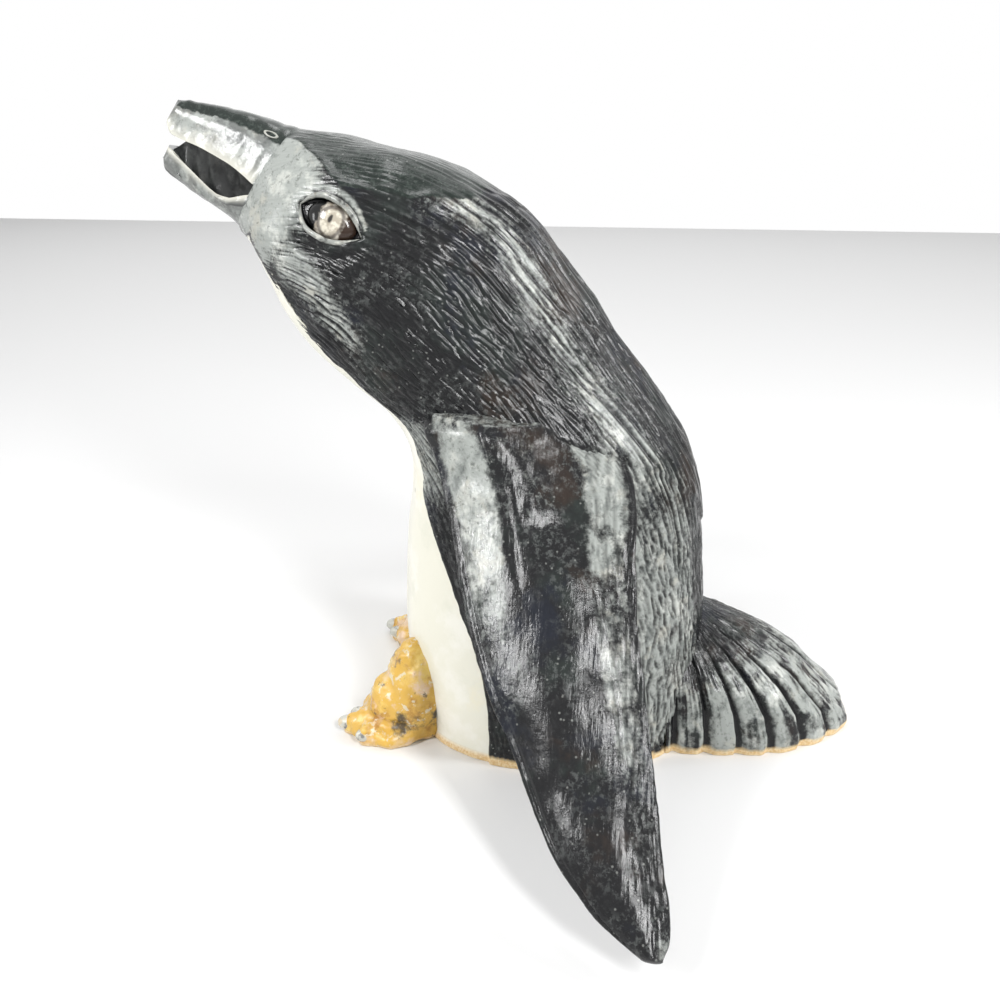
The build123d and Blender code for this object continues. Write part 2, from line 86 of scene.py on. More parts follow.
# %% Lamps
bird_middle = (0.0, 0.0, 0.14)
table_behind = (-1.35, -0.1)
lamps = [
    # name, place, what it points at, size, power
    ("lamp high right", (0.70, 0.44, 0.74), bird_middle, (0.12, 0.42), 6.6),
    ("lamp high left", (0.60, -0.55, 0.78), bird_middle, (0.10, 0.42), 6.2),
    ("lamp above", (-0.16, -0.06, 1.15), bird_middle, (0.20, 0.30), 1.3),
    ("lamp low left", (0.36, -0.95, 0.44), bird_middle, (0.10, 0.40), 1.8),
    ("lamp low right", (0.12, 0.92, 0.70), bird_middle, (0.14, 0.46), 5.8),
    ("lamp over table", (*table_behind, 1.0), (*table_behind, 0.0), (2.2, 3.2), 20.0),
]
for name, place, aim, size, power in lamps:
    light = bpy.data.lights.new(name, "AREA")
    light.shape = "RECTANGLE"
    light.size, light.size_y = size
    light.energy = power
    lamp = new_object(name, light)
    lamp.location = place
    turn_to(lamp, Vector(aim) - Vector(place))
print("lamps:", [row[0] for row in lamps])

# %% [markdown]
# A small fill comes from the sky. What the camera and the mirrors see of the sky is plain white. The sky and
# the glazes are both made of nodes, so the helpers that place a node and join it to others come first.

# %% Nodes and sky
sky_fill = 0.16


def join(tree, source, target):
    """Links two sockets, or writes a plain value on the second; a colour is three numbers."""
    if isinstance(source, bpy.types.NodeSocket):
        tree.links.new(source, target)
    else:
        target.default_value = (*source, 1) if target.type == "RGBA" else source


def new_node(tree, kind, inputs, output=0, **settings):
    """Places one node with its settings and inputs, and returns one of its outputs."""
    node = tree.nodes.new("ShaderNode" + kind)
    for name, value in settings.items():
        setattr(node, name, value)
    for socket, value in inputs.items():
        join(tree, value, node.inputs[socket])
    return node.outputs[output]


def sum_node(tree, operation, first, second):
    """One sum on two values."""
    return new_node(tree, "Math", {0: first, 1: second}, operation=operation)


world = bpy.data.worlds.new("studio")
bpy.context.scene.world = world
world.use_nodes = True
sky = world.node_tree
sky.nodes.clear()
rays = sky.nodes.new("ShaderNodeLightPath").outputs
seen = sum_node(sky, "MAXIMUM", rays["Is Camera Ray"], rays["Is Glossy Ray"])
seen = sum_node(sky, "MAXIMUM", seen, rays["Is Transmission Ray"])
strength = new_node(sky, "MapRange", {"Value": seen, "To Min": sky_fill, "To Max": 1.0})
glow = new_node(sky, "Background", {"Color": (1, 1, 1), "Strength": strength})
join(sky, glow, sky.nodes.new("ShaderNodeOutputWorld").inputs["Surface"])
bpy.context.scene.view_settings.view_transform = "Standard"
print("nodes of the sky:", [node.name for node in sky.nodes])

# %% [markdown]
# Hand-worked clay is never even. Two helpers give that: a cloud, which is smooth noise in space, and a comb,
# which scores many short grooves into a flat sheet of clay. The sheet is later laid round the bird, so one
# groove can run from the head down on to the torso without a break. Small helpers for soft masks come first.

# %% Soft masks and uneven clay
def smooth_step(low, high, value):
    """0 below low, 1 above high, and an even S-shaped rise between."""
    share = np.clip((value - low) / (high - low), 0, 1)
    return share * share * (3 - 2 * share)


def fade(low, high, value):
    """1 below low, 0 above high, and an even fall between."""
    return 1 - smooth_step(low, high, value)


def zone(value, start, full, last, end):
    """1 from full to last, 0 before start and after end."""
    return smooth_step(start, full, value) * fade(last, end, value)


def bell(value, width, power=2):
    """1 where the value is zero, falling to nothing some widths away on both sides."""
    return np.exp(-((value / width) ** power))


cloud_cells = 32
cloud_table = np.random.default_rng(5).uniform(-1, 1, (cloud_cells,) * 3)


def cloud(points, size, layer=0):
    """Smooth noise from -1 to 1 whose lumps are about one size apart; each layer has its own lumps."""
    place = np.asarray(points) / size + layer * 7.31
    cell = np.floor(place).astype(int)
    inside = place - cell
    inside = inside * inside * (3 - 2 * inside)
    total = 0
    for corner in np.ndindex(2, 2, 2):
        index = (cell + corner) % cloud_cells
        weight = np.prod(np.where(np.array(corner) == 1, inside, 1 - inside), axis=-1)
        total = total + weight * cloud_table[index[..., 0], index[..., 1], index[..., 2]]
    return total


def lumps(points, *rows):
    """A sum of clouds, each given as its height, its size and its layer."""
    return sum(high * cloud(points, size, layer) for high, size, layer in rows)


print("cloud test:", round(float(cloud(np.array([[0.01, 0.02, 0.03]]), 0.02)[0]), 3))

# %% A comb for flat clay
sheet_pixel = 0.3 * mm
lip_share = 0.45


def pixels_near(middle, reach, count):
    """First and last pixel within reach of a place, in a row of so many pixels."""
    return max(0, int((middle - reach) / sheet_pixel)), min(count, int((middle + reach) / sheet_pixel))


class CombedSheet:
    """A flat sheet of clay, scored with a comb. It tells how high the clay stands at any place on it."""

    def __init__(self, width, length):
        self.width = width
        self.height = np.zeros((int(length / sheet_pixel) + 1, int(width / sheet_pixel) + 1))

    def score(self, count, groove_length, groove_width, lean, unrest, area, seed):
        """Scores grooves at random places in an area (low across, high across, low along, high along)."""
        rng = np.random.default_rng(seed)
        rows, columns = self.height.shape
        for _ in range(count):
            across = rng.uniform(area[0], area[1]) + self.width / 2
            along = rng.uniform(area[2], area[3])
            half_length = rng.uniform(*groove_length) / 2
            half_width = rng.uniform(*groove_width) / 2
            turn = rng.normal(lean, unrest)
            depth = rng.uniform(0.45, 1.0)
            reach = half_length + 3 * half_width
            low_row, high_row = pixels_near(along, reach, rows)
            low_column, high_column = pixels_near(across, reach * 0.45 + 2 * half_width, columns)
            if high_row <= low_row or high_column <= low_column:
                continue
            v, u = np.mgrid[low_row:high_row, low_column:high_column] * sheet_pixel
            u, v = u - across, v - along
            run = u * math.sin(turn) + v * math.cos(turn)
            side = np.abs(u * math.cos(turn) - v * math.sin(turn)) / half_width
            groove = depth * (lip_share * bell(side - 1.5, 0.5) - bell(side, 1))
            cover = fade(0.75, 1.05, np.abs(run) / half_length) * bell(side, 1.7, 4)
            window = self.height[low_row:high_row, low_column:high_column]
            window *= 1 - cover
            window += cover * groove

    def at(self, across, along):
        """Height of the clay, from about -1 in a groove to 0.5 on its lips."""
        row = np.clip(along / sheet_pixel, 0, self.height.shape[0] - 1.001)
        column = np.clip((across + self.width / 2) / sheet_pixel, 0, self.height.shape[1] - 1.001)
        i, j = row.astype(int), column.astype(int)
        a, b = row - i, column - j
        h = self.height
        top = h[i, j] * (1 - b) + h[i, j + 1] * b
        low = h[i + 1, j] * (1 - b) + h[i + 1, j + 1] * b
        return top * (1 - a) + low * a


comb_test = CombedSheet(20 * mm, 20 * mm)
comb_test.score(5, (8 * mm, 12 * mm), (1 * mm, 2 * mm), 0.0, 0.1, (-5 * mm, 5 * mm, 5 * mm, 15 * mm), 1)
print("comb test: deepest groove", round(float(comb_test.height.min()), 2))

# %% [markdown]
# All pieces are sheets of corners, closed into solids. A small collector keeps the corners, the faces and
# what the glaze must know of each corner: where it lies along the comb strokes, how deep it sits in a
# groove, how grey the glaze is there from thin glaze or painted sheen, where shade is painted in, where it
# is mossy, and where the clay is bare.

# %% A collector for clay
# One fact holds painted shade, laid where shade falls: in the mouth, between the bill halves, in the sockets,
# the furrow, the tail grooves and inside hollow pieces.
glaze_facts = ("groove", "ridge", "grey", "bare", "dark", "moss")
weld_distance = 0.002 * mm
sharp_angle = math.radians(68)


def note_facts(mesh, flow, facts):
    """Writes on a mesh what the glaze must know of each corner."""
    layer = mesh.attributes.new("flow", "FLOAT_VECTOR", "POINT")
    layer.data.foreach_set("vector", np.ravel(flow).astype(np.float32))
    for fact in glaze_facts:
        layer = mesh.attributes.new(fact, "FLOAT", "POINT")
        layer.data.foreach_set("value", facts[fact].astype(np.float32))


class Clay:
    """Corners and faces of one piece of clay, with what the glaze must know of each corner."""

    def __init__(self):
        self.corners, self.faces, self.flow = [], [], []
        self.facts = {name: [] for name in glaze_facts}
        self.count = 0

    def add(self, points, flow=None, **facts):
        """Adds corners of any grid shape and returns their numbers in the same shape."""
        points = np.asarray(points, float)
        shape = points.shape[:-1]
        size = int(np.prod(shape))
        self.corners.append(points.reshape(-1, 3))
        flow = points if flow is None else flow
        self.flow.append(np.broadcast_to(flow, shape + (3,)).reshape(-1, 3))
        for name in glaze_facts:
            self.facts[name].append(np.broadcast_to(facts.get(name, 0.0), shape).reshape(-1).astype(float))
        numbers = np.arange(self.count, self.count + size).reshape(shape)
        self.count += size
        return numbers

    def sheet(self, numbers, round_about=False):
        """Faces between the rows and columns of a grid; round_about joins its last column to its first."""
        if round_about:
            numbers = np.concatenate([numbers, numbers[:, :1]], axis=1)
        quads = np.stack([numbers[:-1, :-1], numbers[:-1, 1:], numbers[1:, 1:], numbers[1:, :-1]], axis=-1)
        self.faces += quads.reshape(-1, 4).tolist()

    def strip(self, first, second):
        """Joins two lines of corners that need not have as many corners as each other."""
        i = j = 0
        while i < len(first) - 1 or j < len(second) - 1:
            first_next = (i + 1) / max(len(first) - 1, 1) if i < len(first) - 1 else 2
            second_next = (j + 1) / max(len(second) - 1, 1) if j < len(second) - 1 else 2
            if first_next <= second_next:
                self.faces.append([int(first[i]), int(first[i + 1]), int(second[j])])
                i += 1
            else:
                self.faces.append([int(first[i]), int(second[j + 1]), int(second[j])])
                j += 1

    def close_ring(self, ring, tip_point, flow=None, **facts):
        """Closes a ring of corners with faces to one new corner."""
        tip = int(self.add(np.reshape(tip_point, (1, 3)), flow, **facts)[0])
        ring = [int(n) for n in ring]
        self.faces += [[a, b, tip] for a, b in zip(ring, ring[1:] + ring[:1])]

    def piece(self, name):
        """The finished piece as an object with its glaze facts on it."""
        mesh = bpy.data.meshes.new(name)
        mesh.from_pydata(np.concatenate(self.corners).tolist(), [], self.faces)
        facts = {fact: np.concatenate(values) for fact, values in self.facts.items()}
        note_facts(mesh, np.concatenate(self.flow), facts)
        shape = bmesh.new()
        shape.from_mesh(mesh)
        bmesh.ops.remove_doubles(shape, verts=shape.verts, dist=weld_distance)
        bmesh.ops.dissolve_degenerate(shape, edges=shape.edges, dist=weld_distance)
        bmesh.ops.recalc_face_normals(shape, faces=shape.faces)
        open_edges = sum(1 for edge in shape.edges if not edge.is_manifold)
        shape.to_mesh(mesh)
        shape.free()
        mesh.shade_smooth()
        mesh.set_sharp_from_angle(angle=sharp_angle)
        print(name, "faces", len(mesh.polygons), "open edges", open_edges)
        return new_object(name, mesh)


def place_piece(thing, node):
    """The piece rides with the bird and takes the place of its facetted twin."""
    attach(thing, "root")
    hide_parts(node)
    return thing


def mirror_piece(thing, name):
    """The same piece for the bird's other side."""
    mesh = thing.data.copy()
    mesh.name = name
    shape = bmesh.new()
    shape.from_mesh(mesh)
    for vert in shape.verts:
        vert.co.x = -vert.co.x
    bmesh.ops.reverse_faces(shape, faces=shape.faces)
    shape.to_mesh(mesh)
    shape.free()
    return new_object(name, mesh)


# %% Curves through a few points
def fair_rows(rows, places):
    """Rows of a table at places between its rows, on a fair curve through four neighbours."""
    rows = np.asarray(rows, float)
    places = np.clip(np.asarray(places, float), 0, len(rows) - 1)
    start = np.minimum(places.astype(int), len(rows) - 2)
    t = (places - start)[..., None]
    before, first = rows[np.maximum(start - 1, 0)], rows[start]
    last, after = rows[start + 1], rows[np.minimum(start + 2, len(rows) - 1)]
    return 0.5 * (
        2 * first
        + (last - before) * t
        + (2 * before - 5 * first + 4 * last - after) * t**2
        + (3 * first - before - 3 * last + after) * t**3
    )


def line_at(line, place):
    """Second number of a line of points, read where their first number is at a place."""
    return np.interp(place, line[:, 0], line[:, 1])


def unit(vectors):
    """The same directions with length 1."""
    return vectors / (np.linalg.norm(vectors, axis=-1, keepdims=True) + 1e-12)


def outward(points, away_from):
    """Normals of a grid of points, turned away from a middle point of each row."""
    normal = unit(np.cross(np.gradient(points, axis=1), np.gradient(points, axis=0)))
    turned = np.sum(normal * (points - away_from), axis=-1).mean()
    return normal if turned > 0 else -normal


print("half way on a curve:", fair_rows([[0, 0], [1, 0], [1, 1], [0, 1]], [1.5])[0])

# %% [markdown]
# Torso, neck and head are one skin. It is described by sections from the foot rim to the root of the bill:
# the back point and the front point in the side view, the width, and how square the section is. The same
# numbers made the facetted model. Here a fair curve runs through them in place of the facets.

# %% The skin of the bird
body_depth, body_width, body_setback, neck_height = 136 * mm, 128 * mm, 16 * mm, 168.5 * mm
head_reach, head_rise, head_width = 100 * mm, 81 * mm, 98 * mm
torso_shares = [
    (0.471, 0.000, -0.463, 0.000, 1.000, 1.00),
    (0.484, 0.130, -0.490, 0.125, 1.000, 1.00),
    (0.493, 0.297, -0.507, 0.285, 0.990, 0.90),
    (0.471, 0.564, -0.496, 0.522, 0.945, 0.70),
    (0.419, 0.736, -0.478, 0.653, 0.900, 0.50),
    (0.331, 0.866, -0.485, 0.748, 0.835, 0.25),
    (0.213, 1.000, -0.551, 0.837, 0.770, 0.00),
]
head_shares = [
    (-0.320, 0.497, 0.670, -0.028, 0.950),
    (-0.110, 0.818, 0.830, 0.145, 0.900),
    (0.100, 0.997, 0.940, 0.336, 0.850),
    (0.330, 1.120, 1.005, 0.509, 0.755),
    (0.560, 1.176, 1.055, 0.645, 0.650),
    (0.710, 1.213, 1.090, 0.700, 0.510),
    (0.850, 1.244, 1.125, 0.756, 0.337),
]
belly_share, corner_share = 0.12, 0.18


def torso_point(y_share, z_share):
    """A point of the side view, given in shares of the torso."""
    return body_setback + y_share * body_depth, z_share * neck_height


def head_point(forward_share, up_share):
    """A point of the side view, given in shares of the head."""
    return neck_middle[0] - forward_share * head_reach, neck_middle[1] + up_share * head_rise


stations = []
for back_y, back_z, front_y, front_z, width, fullness in torso_shares:
    back, front = torso_point(back_y, back_z), torso_point(front_y, front_z)
    stations.append((*back, *front, width * body_width / 2, fullness))
neck_ring = len(stations) - 1
neck_middle = ((back[0] + front[0]) / 2, (back[1] + front[1]) / 2)
for back_y, back_z, front_y, front_z, width in head_shares:
    back, front = head_point(back_y, back_z), head_point(front_y, front_z)
    stations.append((*back, *front, width * head_width / 2, 0.0))
last_ring = len(stations) - 1


def swell(value, power):
    """A sine or cosine raised to a power, with its sign kept."""
    return np.sign(value) * np.abs(value) ** power


def skin(ring, angle):
    """Points of the skin. The ring counts sections up from the foot; angle 0 is the back, pi the front."""
    ring, angle = np.broadcast_arrays(np.asarray(ring, float), np.asarray(angle, float))
    back_y, back_z, front_y, front_z, half_width, fullness = np.moveaxis(fair_rows(stations, ring), -1, 0)
    power = 1 - corner_share * fullness
    forward = belly_share * (1 - fullness)
    depth = (swell(np.cos(angle), power) - forward * np.sin(angle) ** 2) / 2
    y = (back_y + front_y) / 2 + (back_y - front_y) * depth
    z = (back_z + front_z) / 2 + (back_z - front_z) * depth
    return np.stack([half_width * swell(np.sin(angle), power), y, z], axis=-1)


def ring_middles(rings):
    """Middle of each section, as a column of points."""
    rows = fair_rows(stations, rings)
    return np.stack([0 * rings, *((rows[:, :2] + rows[:, 2:4]) / 2).T], axis=-1)[:, None, :]


fine_rings = np.linspace(0, last_ring, 1300)
side_steps = np.linalg.norm(np.diff(skin(fine_rings, math.pi / 2), axis=0), axis=-1)
back_steps = np.linalg.norm(np.diff(skin(fine_rings, 0.0), axis=0), axis=-1)
path_length = np.concatenate([[0], np.cumsum((side_steps + back_steps) / 2)])
full_length = path_length[-1]
print("skin length from foot to bill:", round(full_length / mm), "mm")


def length_at(ring):
    """How far up the skin a section lies."""
    return np.interp(ring, fine_rings, path_length)


def ring_rows(low_ring, high_ring, count):
    """Sections at even steps of length between two of them."""
    low, high = length_at([low_ring, high_ring])
    return np.interp(np.linspace(low, high, count), path_length, fine_rings)


# %% [markdown]
# The white front ends at a line that climbs from the foot rim to the shoulder and on to the chin. For each
# section the angle is found at which the skin crosses that line in the side view. Up to this angle the skin
# is the black coat, and beyond it the white front. Just below the bill the coat closes over the chin.

# %% The line between black and white
breast_edge_shares = [(-0.170, 0.0), (-0.184, 0.2), (-0.228, 0.338), (-0.33, 0.546)]
breast_edge_shares += [(-0.39, 0.676), (-0.41, 0.772)]
throat_edge_shares = [(0.390, -0.133), (0.590, 0.028), (0.770, 0.207), (0.900, 0.349), (1.030, 0.485)]
edge_points = [torso_point(*shares) for shares in breast_edge_shares]
edge_points += [head_point(*shares) for shares in throat_edge_shares]
edge_curve = fair_rows(edge_points, np.linspace(0, len(edge_points) - 1, 200))

half_turn = np.linspace(0, math.pi, 361)
side_view = skin(fine_rings[:, None], half_turn[None, :])
is_black = side_view[..., 1] > line_at(edge_curve[:, ::-1], side_view[..., 2])
coat_angle_table = half_turn[np.argmin(is_black, axis=1)]
coat_angle_table[is_black.all(axis=1)] = math.pi

chin_start, chin_end = last_ring - 1.5, last_ring - 0.7
breast_half_angle, throat_half_angle = 0.70, 0.60
narrowing = (breast_half_angle - throat_half_angle) * smooth_step(neck_ring + 0.8, chin_start, fine_rings)
coat_angle_table = np.minimum(coat_angle_table, math.pi - breast_half_angle + narrowing)
coat_angle_table += (math.pi - coat_angle_table) * smooth_step(chin_start, chin_end, fine_rings)
evening = 20
kernel = np.hanning(2 * evening + 1)
padded = np.pad(coat_angle_table, evening, mode="edge")
coat_angle_table = np.convolve(padded, kernel / kernel.sum(), mode="valid")


def coat_angle(rings):
    """Angle from the back at which the black coat ends."""
    return np.interp(rings, fine_rings, coat_angle_table)


print("coat ends at", [round(math.degrees(coat_angle(r))) for r in range(0, last_ring + 1, 2)], "degrees")

# %% [markdown]
# The potter combed the black clay from the head to the tail. Long strokes run down the neck and the back to a
# pointed cape, and below it the strokes are short. A flat sheet gets all these strokes first. Where the sheet
# lies on the face, its strokes are later smoothed away again.

# %% The combed sheet
neck_along = float(length_at(neck_ring))
coat_sheet = CombedSheet(0.36, full_length + 0.01)
short_strokes = (-170 * mm, 170 * mm, 0.0, neck_along)
neck_strokes = (-150 * mm, 150 * mm, neck_along - 40 * mm, full_length)
spine_strokes = (-45 * mm, 45 * mm, neck_along - 60 * mm, full_length - 60 * mm)
coat_sheet.score(7500, (4 * mm, 10 * mm), (1.3 * mm, 2.6 * mm), 0.06, 0.22, short_strokes, 11)
coat_sheet.score(9000, (6 * mm, 20 * mm), (1.1 * mm, 2.3 * mm), 0.0, 0.12, neck_strokes, 12)
coat_sheet.score(1100, (18 * mm, 40 * mm), (1.6 * mm, 3.0 * mm), 0.0, 0.06, spine_strokes, 13)
print("combed sheet", coat_sheet.height.shape, "lowest", round(float(coat_sheet.height.min()), 2))

# %% [markdown]
# The eye lies in an almond-shaped socket that is pressed into the side of the head. Its plane is tilted with
# the head and turned a little forward and up. The helpers below turn points into the eye's own axes and tell
# how far inside the almond they lie.

# %% The place of the eye
eye_ring = neck_ring + 4
eye_length, eye_opening, socket_depth = 29 * mm, 14.5 * mm, 3 * mm
eye_front_power, eye_rear_power = 3.2, 2.0
eye_turn, eye_lift, eye_slope = math.radians(16), math.radians(9), math.radians(25)
eye_out_share, eye_forward_share = 0.975, 0.455
back_y, back_z, front_y, front_z, head_half_width, _ = stations[eye_ring]
back, front = Vector((0, back_y, back_z)), Vector((0, front_y, front_z))
eye_place = back.lerp(front, eye_forward_share) + Vector((eye_out_share * head_half_width, 0, 0))
section_up = (back - front).normalized()
section_normal = Vector((0, -section_up.z, section_up.y))
gaze = Quaternion(section_normal, eye_lift) @ (Quaternion(section_up, -eye_turn) @ Vector((1, 0, 0)))
eye_along = Quaternion((1, 0, 0), eye_slope) @ (-section_normal)
eye_along = (eye_along - gaze * eye_along.dot(gaze)).normalized()
eye_axes = np.array([eye_along, gaze.cross(eye_along), gaze])
eye_corner_sink = eye_length**2 / (8 * head_half_width)


def in_eye(points):
    """Points of the left side in the eye's own axes: along it, up and out."""
    return (np.asarray(points) - np.array(eye_place)) @ eye_axes.T


def from_eye(local):
    """The way back from the eye's own axes."""
    return np.asarray(local) @ eye_axes + np.array(eye_place)


def to_left(points):
    """Factors that turn points of the right side into their twins on the left, and back."""
    return np.where(points[..., :1] < 0, [-1.0, 1, 1], [1.0, 1, 1])


def almond(local, grow=0.0):
    """Distance inside the almond's edge, in metres; negative outside it."""
    across = local[..., 0] / (eye_length / 2 + grow)
    power = np.where(across < 0, eye_front_power, eye_rear_power)
    return (eye_opening / 2 + grow) * (1 - np.abs(across) ** power) - np.abs(local[..., 1])


# %% [markdown]
# Now the coat is laid round the bird as a grid. What shaped the clay and the glaze at each corner is worked
# out in steps: the strokes there, the smooth face, the flat crown, the patches of thin pale glaze and painted
# sheen, and the cape. The last step adds up how high the clay stands over the skin.

# %% The grid of the coat
edge_pull = 0.06


class CoatGrid:
    """Corners of the coat between two sections, with what is known of each."""

    def __init__(self, low_ring, high_ring, rows, columns):
        rings = ring_rows(low_ring, high_ring, rows)
        share = np.linspace(-1, 1, columns)
        share = share * (1 - edge_pull) + edge_pull * np.sin(share * math.pi / 2)
        self.base = skin(rings[:, None], share[None, :] * coat_angle(rings)[:, None])
        self.normal = outward(self.base, ring_middles(rings))
        steps = np.linalg.norm(np.diff(self.base, axis=1), axis=-1)
        across = np.concatenate([np.zeros((rows, 1)), np.cumsum(steps, axis=1)], axis=1)
        half = across[:, -1:] / 2
        across = across - half
        along = length_at(rings)[:, None] + 0 * across
        self.ring, self.along, self.side = rings[:, None] + 0 * across, along, np.abs(across)
        self.edge = half - self.side
        self.parted = smooth_step(0.02, 0.25, math.pi - coat_angle(rings))[:, None]
        self.flow = np.stack([across, along, 0 * across], axis=-1)
        self.local = in_eye(self.base * to_left(self.base))
        self.strokes = coat_sheet.at(across, along + lumps(self.base, (0.6 * mm, 12 * mm, 3)))


# %% The smooth pale face, with painted highlights
lores_edge = [(-32, -21), (-24, -15), (-16, -12), (-10, -11), (-4, -11), (4, -12), (10, -11), (18, -14)]
lores_edge = np.array(lores_edge) * mm
cheek_start, cheek_end = np.array([(-7, -21), (27, -36)]) * mm
side_depth = 26 * mm


def pale_face(coat):
    """Masks of pale grey and of the smooth clay: before the eye (thin glaze with a painted highlight), on the
    cheek (a painted highlight) and over the lid.
    """
    along_eye, up_eye = coat.local[..., 0], coat.local[..., 1]
    ragged = lumps(coat.base, (2.5 * mm, 8 * mm, 1), (1.0 * mm, 2.5 * mm, 14)) + 4.0 * mm * coat.strokes
    before_eye = line_at(lores_edge, up_eye) - along_eye
    # Before the eye the grey is thin pale glaze and a painted highlight.
    lores = smooth_step(-8 * mm, 7 * mm, before_eye + ragged) * (coat.ring > neck_ring + 2)
    chord = cheek_end - cheek_start
    share = np.clip(((coat.local[..., :2] - cheek_start) @ chord) / (chord @ chord), 0, 1)
    away = np.linalg.norm(coat.local[..., :2] - cheek_start - share[..., None] * chord, axis=-1)
    # The cheek patch is a painted highlight, broken by the comb strokes.
    cheek = fade(2 * mm, 14 * mm, away + ragged + 4 * mm * share) * (1 - 0.3 * share)
    cheek = cheek * np.clip(0.95 + 0.8 * coat.strokes, 0, 1)
    over_lid = 0.7 * bell(almond(coat.local, 3.4 * mm), 1.6 * mm)
    over_lid = over_lid * (up_eye > 0) * (np.abs(along_eye) < 15 * mm)
    near_side = np.abs(coat.local[..., 2]) < side_depth
    pale = np.maximum(np.maximum(lores, cheek), over_lid) * near_side
    smooth = np.maximum(lores, 0.35 * cheek) * near_side
    return pale * smooth_step(1 * mm, 6 * mm, coat.edge + ragged * 0.6), smooth


# %% The flat dark crown and its brow
crown_edge = [(-110, 257), (-84.5, 247.5), (-67, 234.5), (-44, 230.5), (-18.8, 229), (0, 222), (30, 205)]
crown_edge = np.array(crown_edge) * mm


def crown_and_brow(coat):
    """Masks of the crown and of the ridge that bounds it, from the bill over the eye."""
    y, z = coat.base[..., 1], coat.base[..., 2]
    over = z - line_at(crown_edge, y) + lumps(coat.base, (1.0 * mm, 6 * mm, 2))
    before_nape = fade(-22 * mm, -8 * mm, y + lumps(coat.base, (3 * mm, 9 * mm, 15)))
    crown = smooth_step(-1.5 * mm, 2.0 * mm, over) * before_nape * (coat.ring > neck_ring + 0.5)
    return crown, bell(over, 3.2 * mm) * before_nape * (coat.ring > neck_ring + 1)


# %% Thin pale glaze and painted sheen on flank, shoulder and neck
ridge_line = [(104, 34), (120, 36), (138, 42), (158, 43), (189, 34)]
ridge_line = np.array(ridge_line + [(207, 31), (231, 27), (261, 24), (280, 22)]) * mm


def thin_glaze_and_sheen(coat):
    """Mask of the places below the head where the glaze ran thin and where sheen is painted in."""
    y, z = coat.base[..., 1], coat.base[..., 2]
    # On the upper and lower flank the grey is thin glaze with painted sheen.
    upper_flank = zone(coat.ring, 3.2, 4.0, 5.6, 6.6) * smooth_step(26 * mm, 40 * mm, coat.side)
    upper_flank = 0.62 * upper_flank * smooth_step(26 * mm, 38 * mm, y)
    low_flank = zone(coat.ring, 0.1, 0.5, 3.2, 4.2) * smooth_step(20 * mm, 34 * mm, coat.side)
    low_flank = 0.80 * low_flank * smooth_step(0, 20 * mm, y)
    # The shoulder band is painted sheen.
    shoulder = zone(z, 106 * mm, 118 * mm, 142 * mm, 152 * mm) * (coat.ring < neck_ring + 1)
    shoulder = 0.75 * shoulder * zone(coat.edge, 0.5 * mm, 2.5 * mm, 14 * mm, 20 * mm)
    # A painted sheen band runs along the ridge of the neck, broken by the strokes.
    from_ridge = coat.side - line_at(ridge_line, coat.along) - lumps(coat.base, (2 * mm, 15 * mm, 19))
    ridge = bell(from_ridge, 10 * mm) * zone(coat.along, 100 * mm, 116 * mm, 262 * mm, 276 * mm)
    ridge = 0.95 * ridge * np.clip(0.80 + 0.45 * coat.strokes, 0, 1)
    pale = np.max([upper_flank, low_flank, shoulder, ridge], axis=0)
    return pale * (0.78 + lumps(coat.base, (0.22, 9 * mm, 17)) + 0.4 * coat.strokes)


# %% The furrow under the eye, the cape and the height of the coat
comb_depth, furrow_depth, brow_height = 0.85 * mm, 0.7 * mm, 1.0 * mm
cape_height, spine_dip = 1.5 * mm, 0.5 * mm
cape_ring = 2.9547
finger_lumps = [(0.9 * mm, 22 * mm, 4), (0.35 * mm, 9 * mm, 5), (0.16 * mm, 4 * mm, 16)]
cape_tip = float(length_at(cape_ring))
rim_height, rim_flare, lip_drop = 3.2 * mm, 0.7 * mm, 2.2 * mm


def furrow_mask(coat):
    """A combed furrow under the lower lid, darkened with painted shade."""
    along_eye, up_eye, out_eye = np.moveaxis(coat.local, -1, 0)
    under_eye = smooth_step(0.5 * mm, 3 * mm, -up_eye) * fade(12 * mm, 18 * mm, np.abs(along_eye - 2 * mm))
    broken = np.clip(0.75 - 0.6 * coat.strokes + lumps(coat.base, (0.3, 3 * mm, 18)), 0, 1)
    return bell(almond(coat.local, 6.6 * mm), 2.8 * mm) * broken * under_eye * (np.abs(out_eye) < 14 * mm)


def cape_relief(coat):
    """The step of the cape, lowest on the spine and rising to both shoulders, and the dip of the spine."""
    over_edge = coat.along - cape_tip - coat.side * 0.85 - lumps(coat.base, (2.0 * mm, 14 * mm, 6))
    step = smooth_step(-0.6 * mm, 0.8 * mm, over_edge)
    step = step * fade(cape_tip + 20 * mm, cape_tip + 90 * mm, coat.along)
    spine = bell(coat.side, 7 * mm) * zone(coat.ring, 1.5, 3.5, neck_ring + 1, neck_ring + 3)
    return step * cape_height - spine * spine_dip


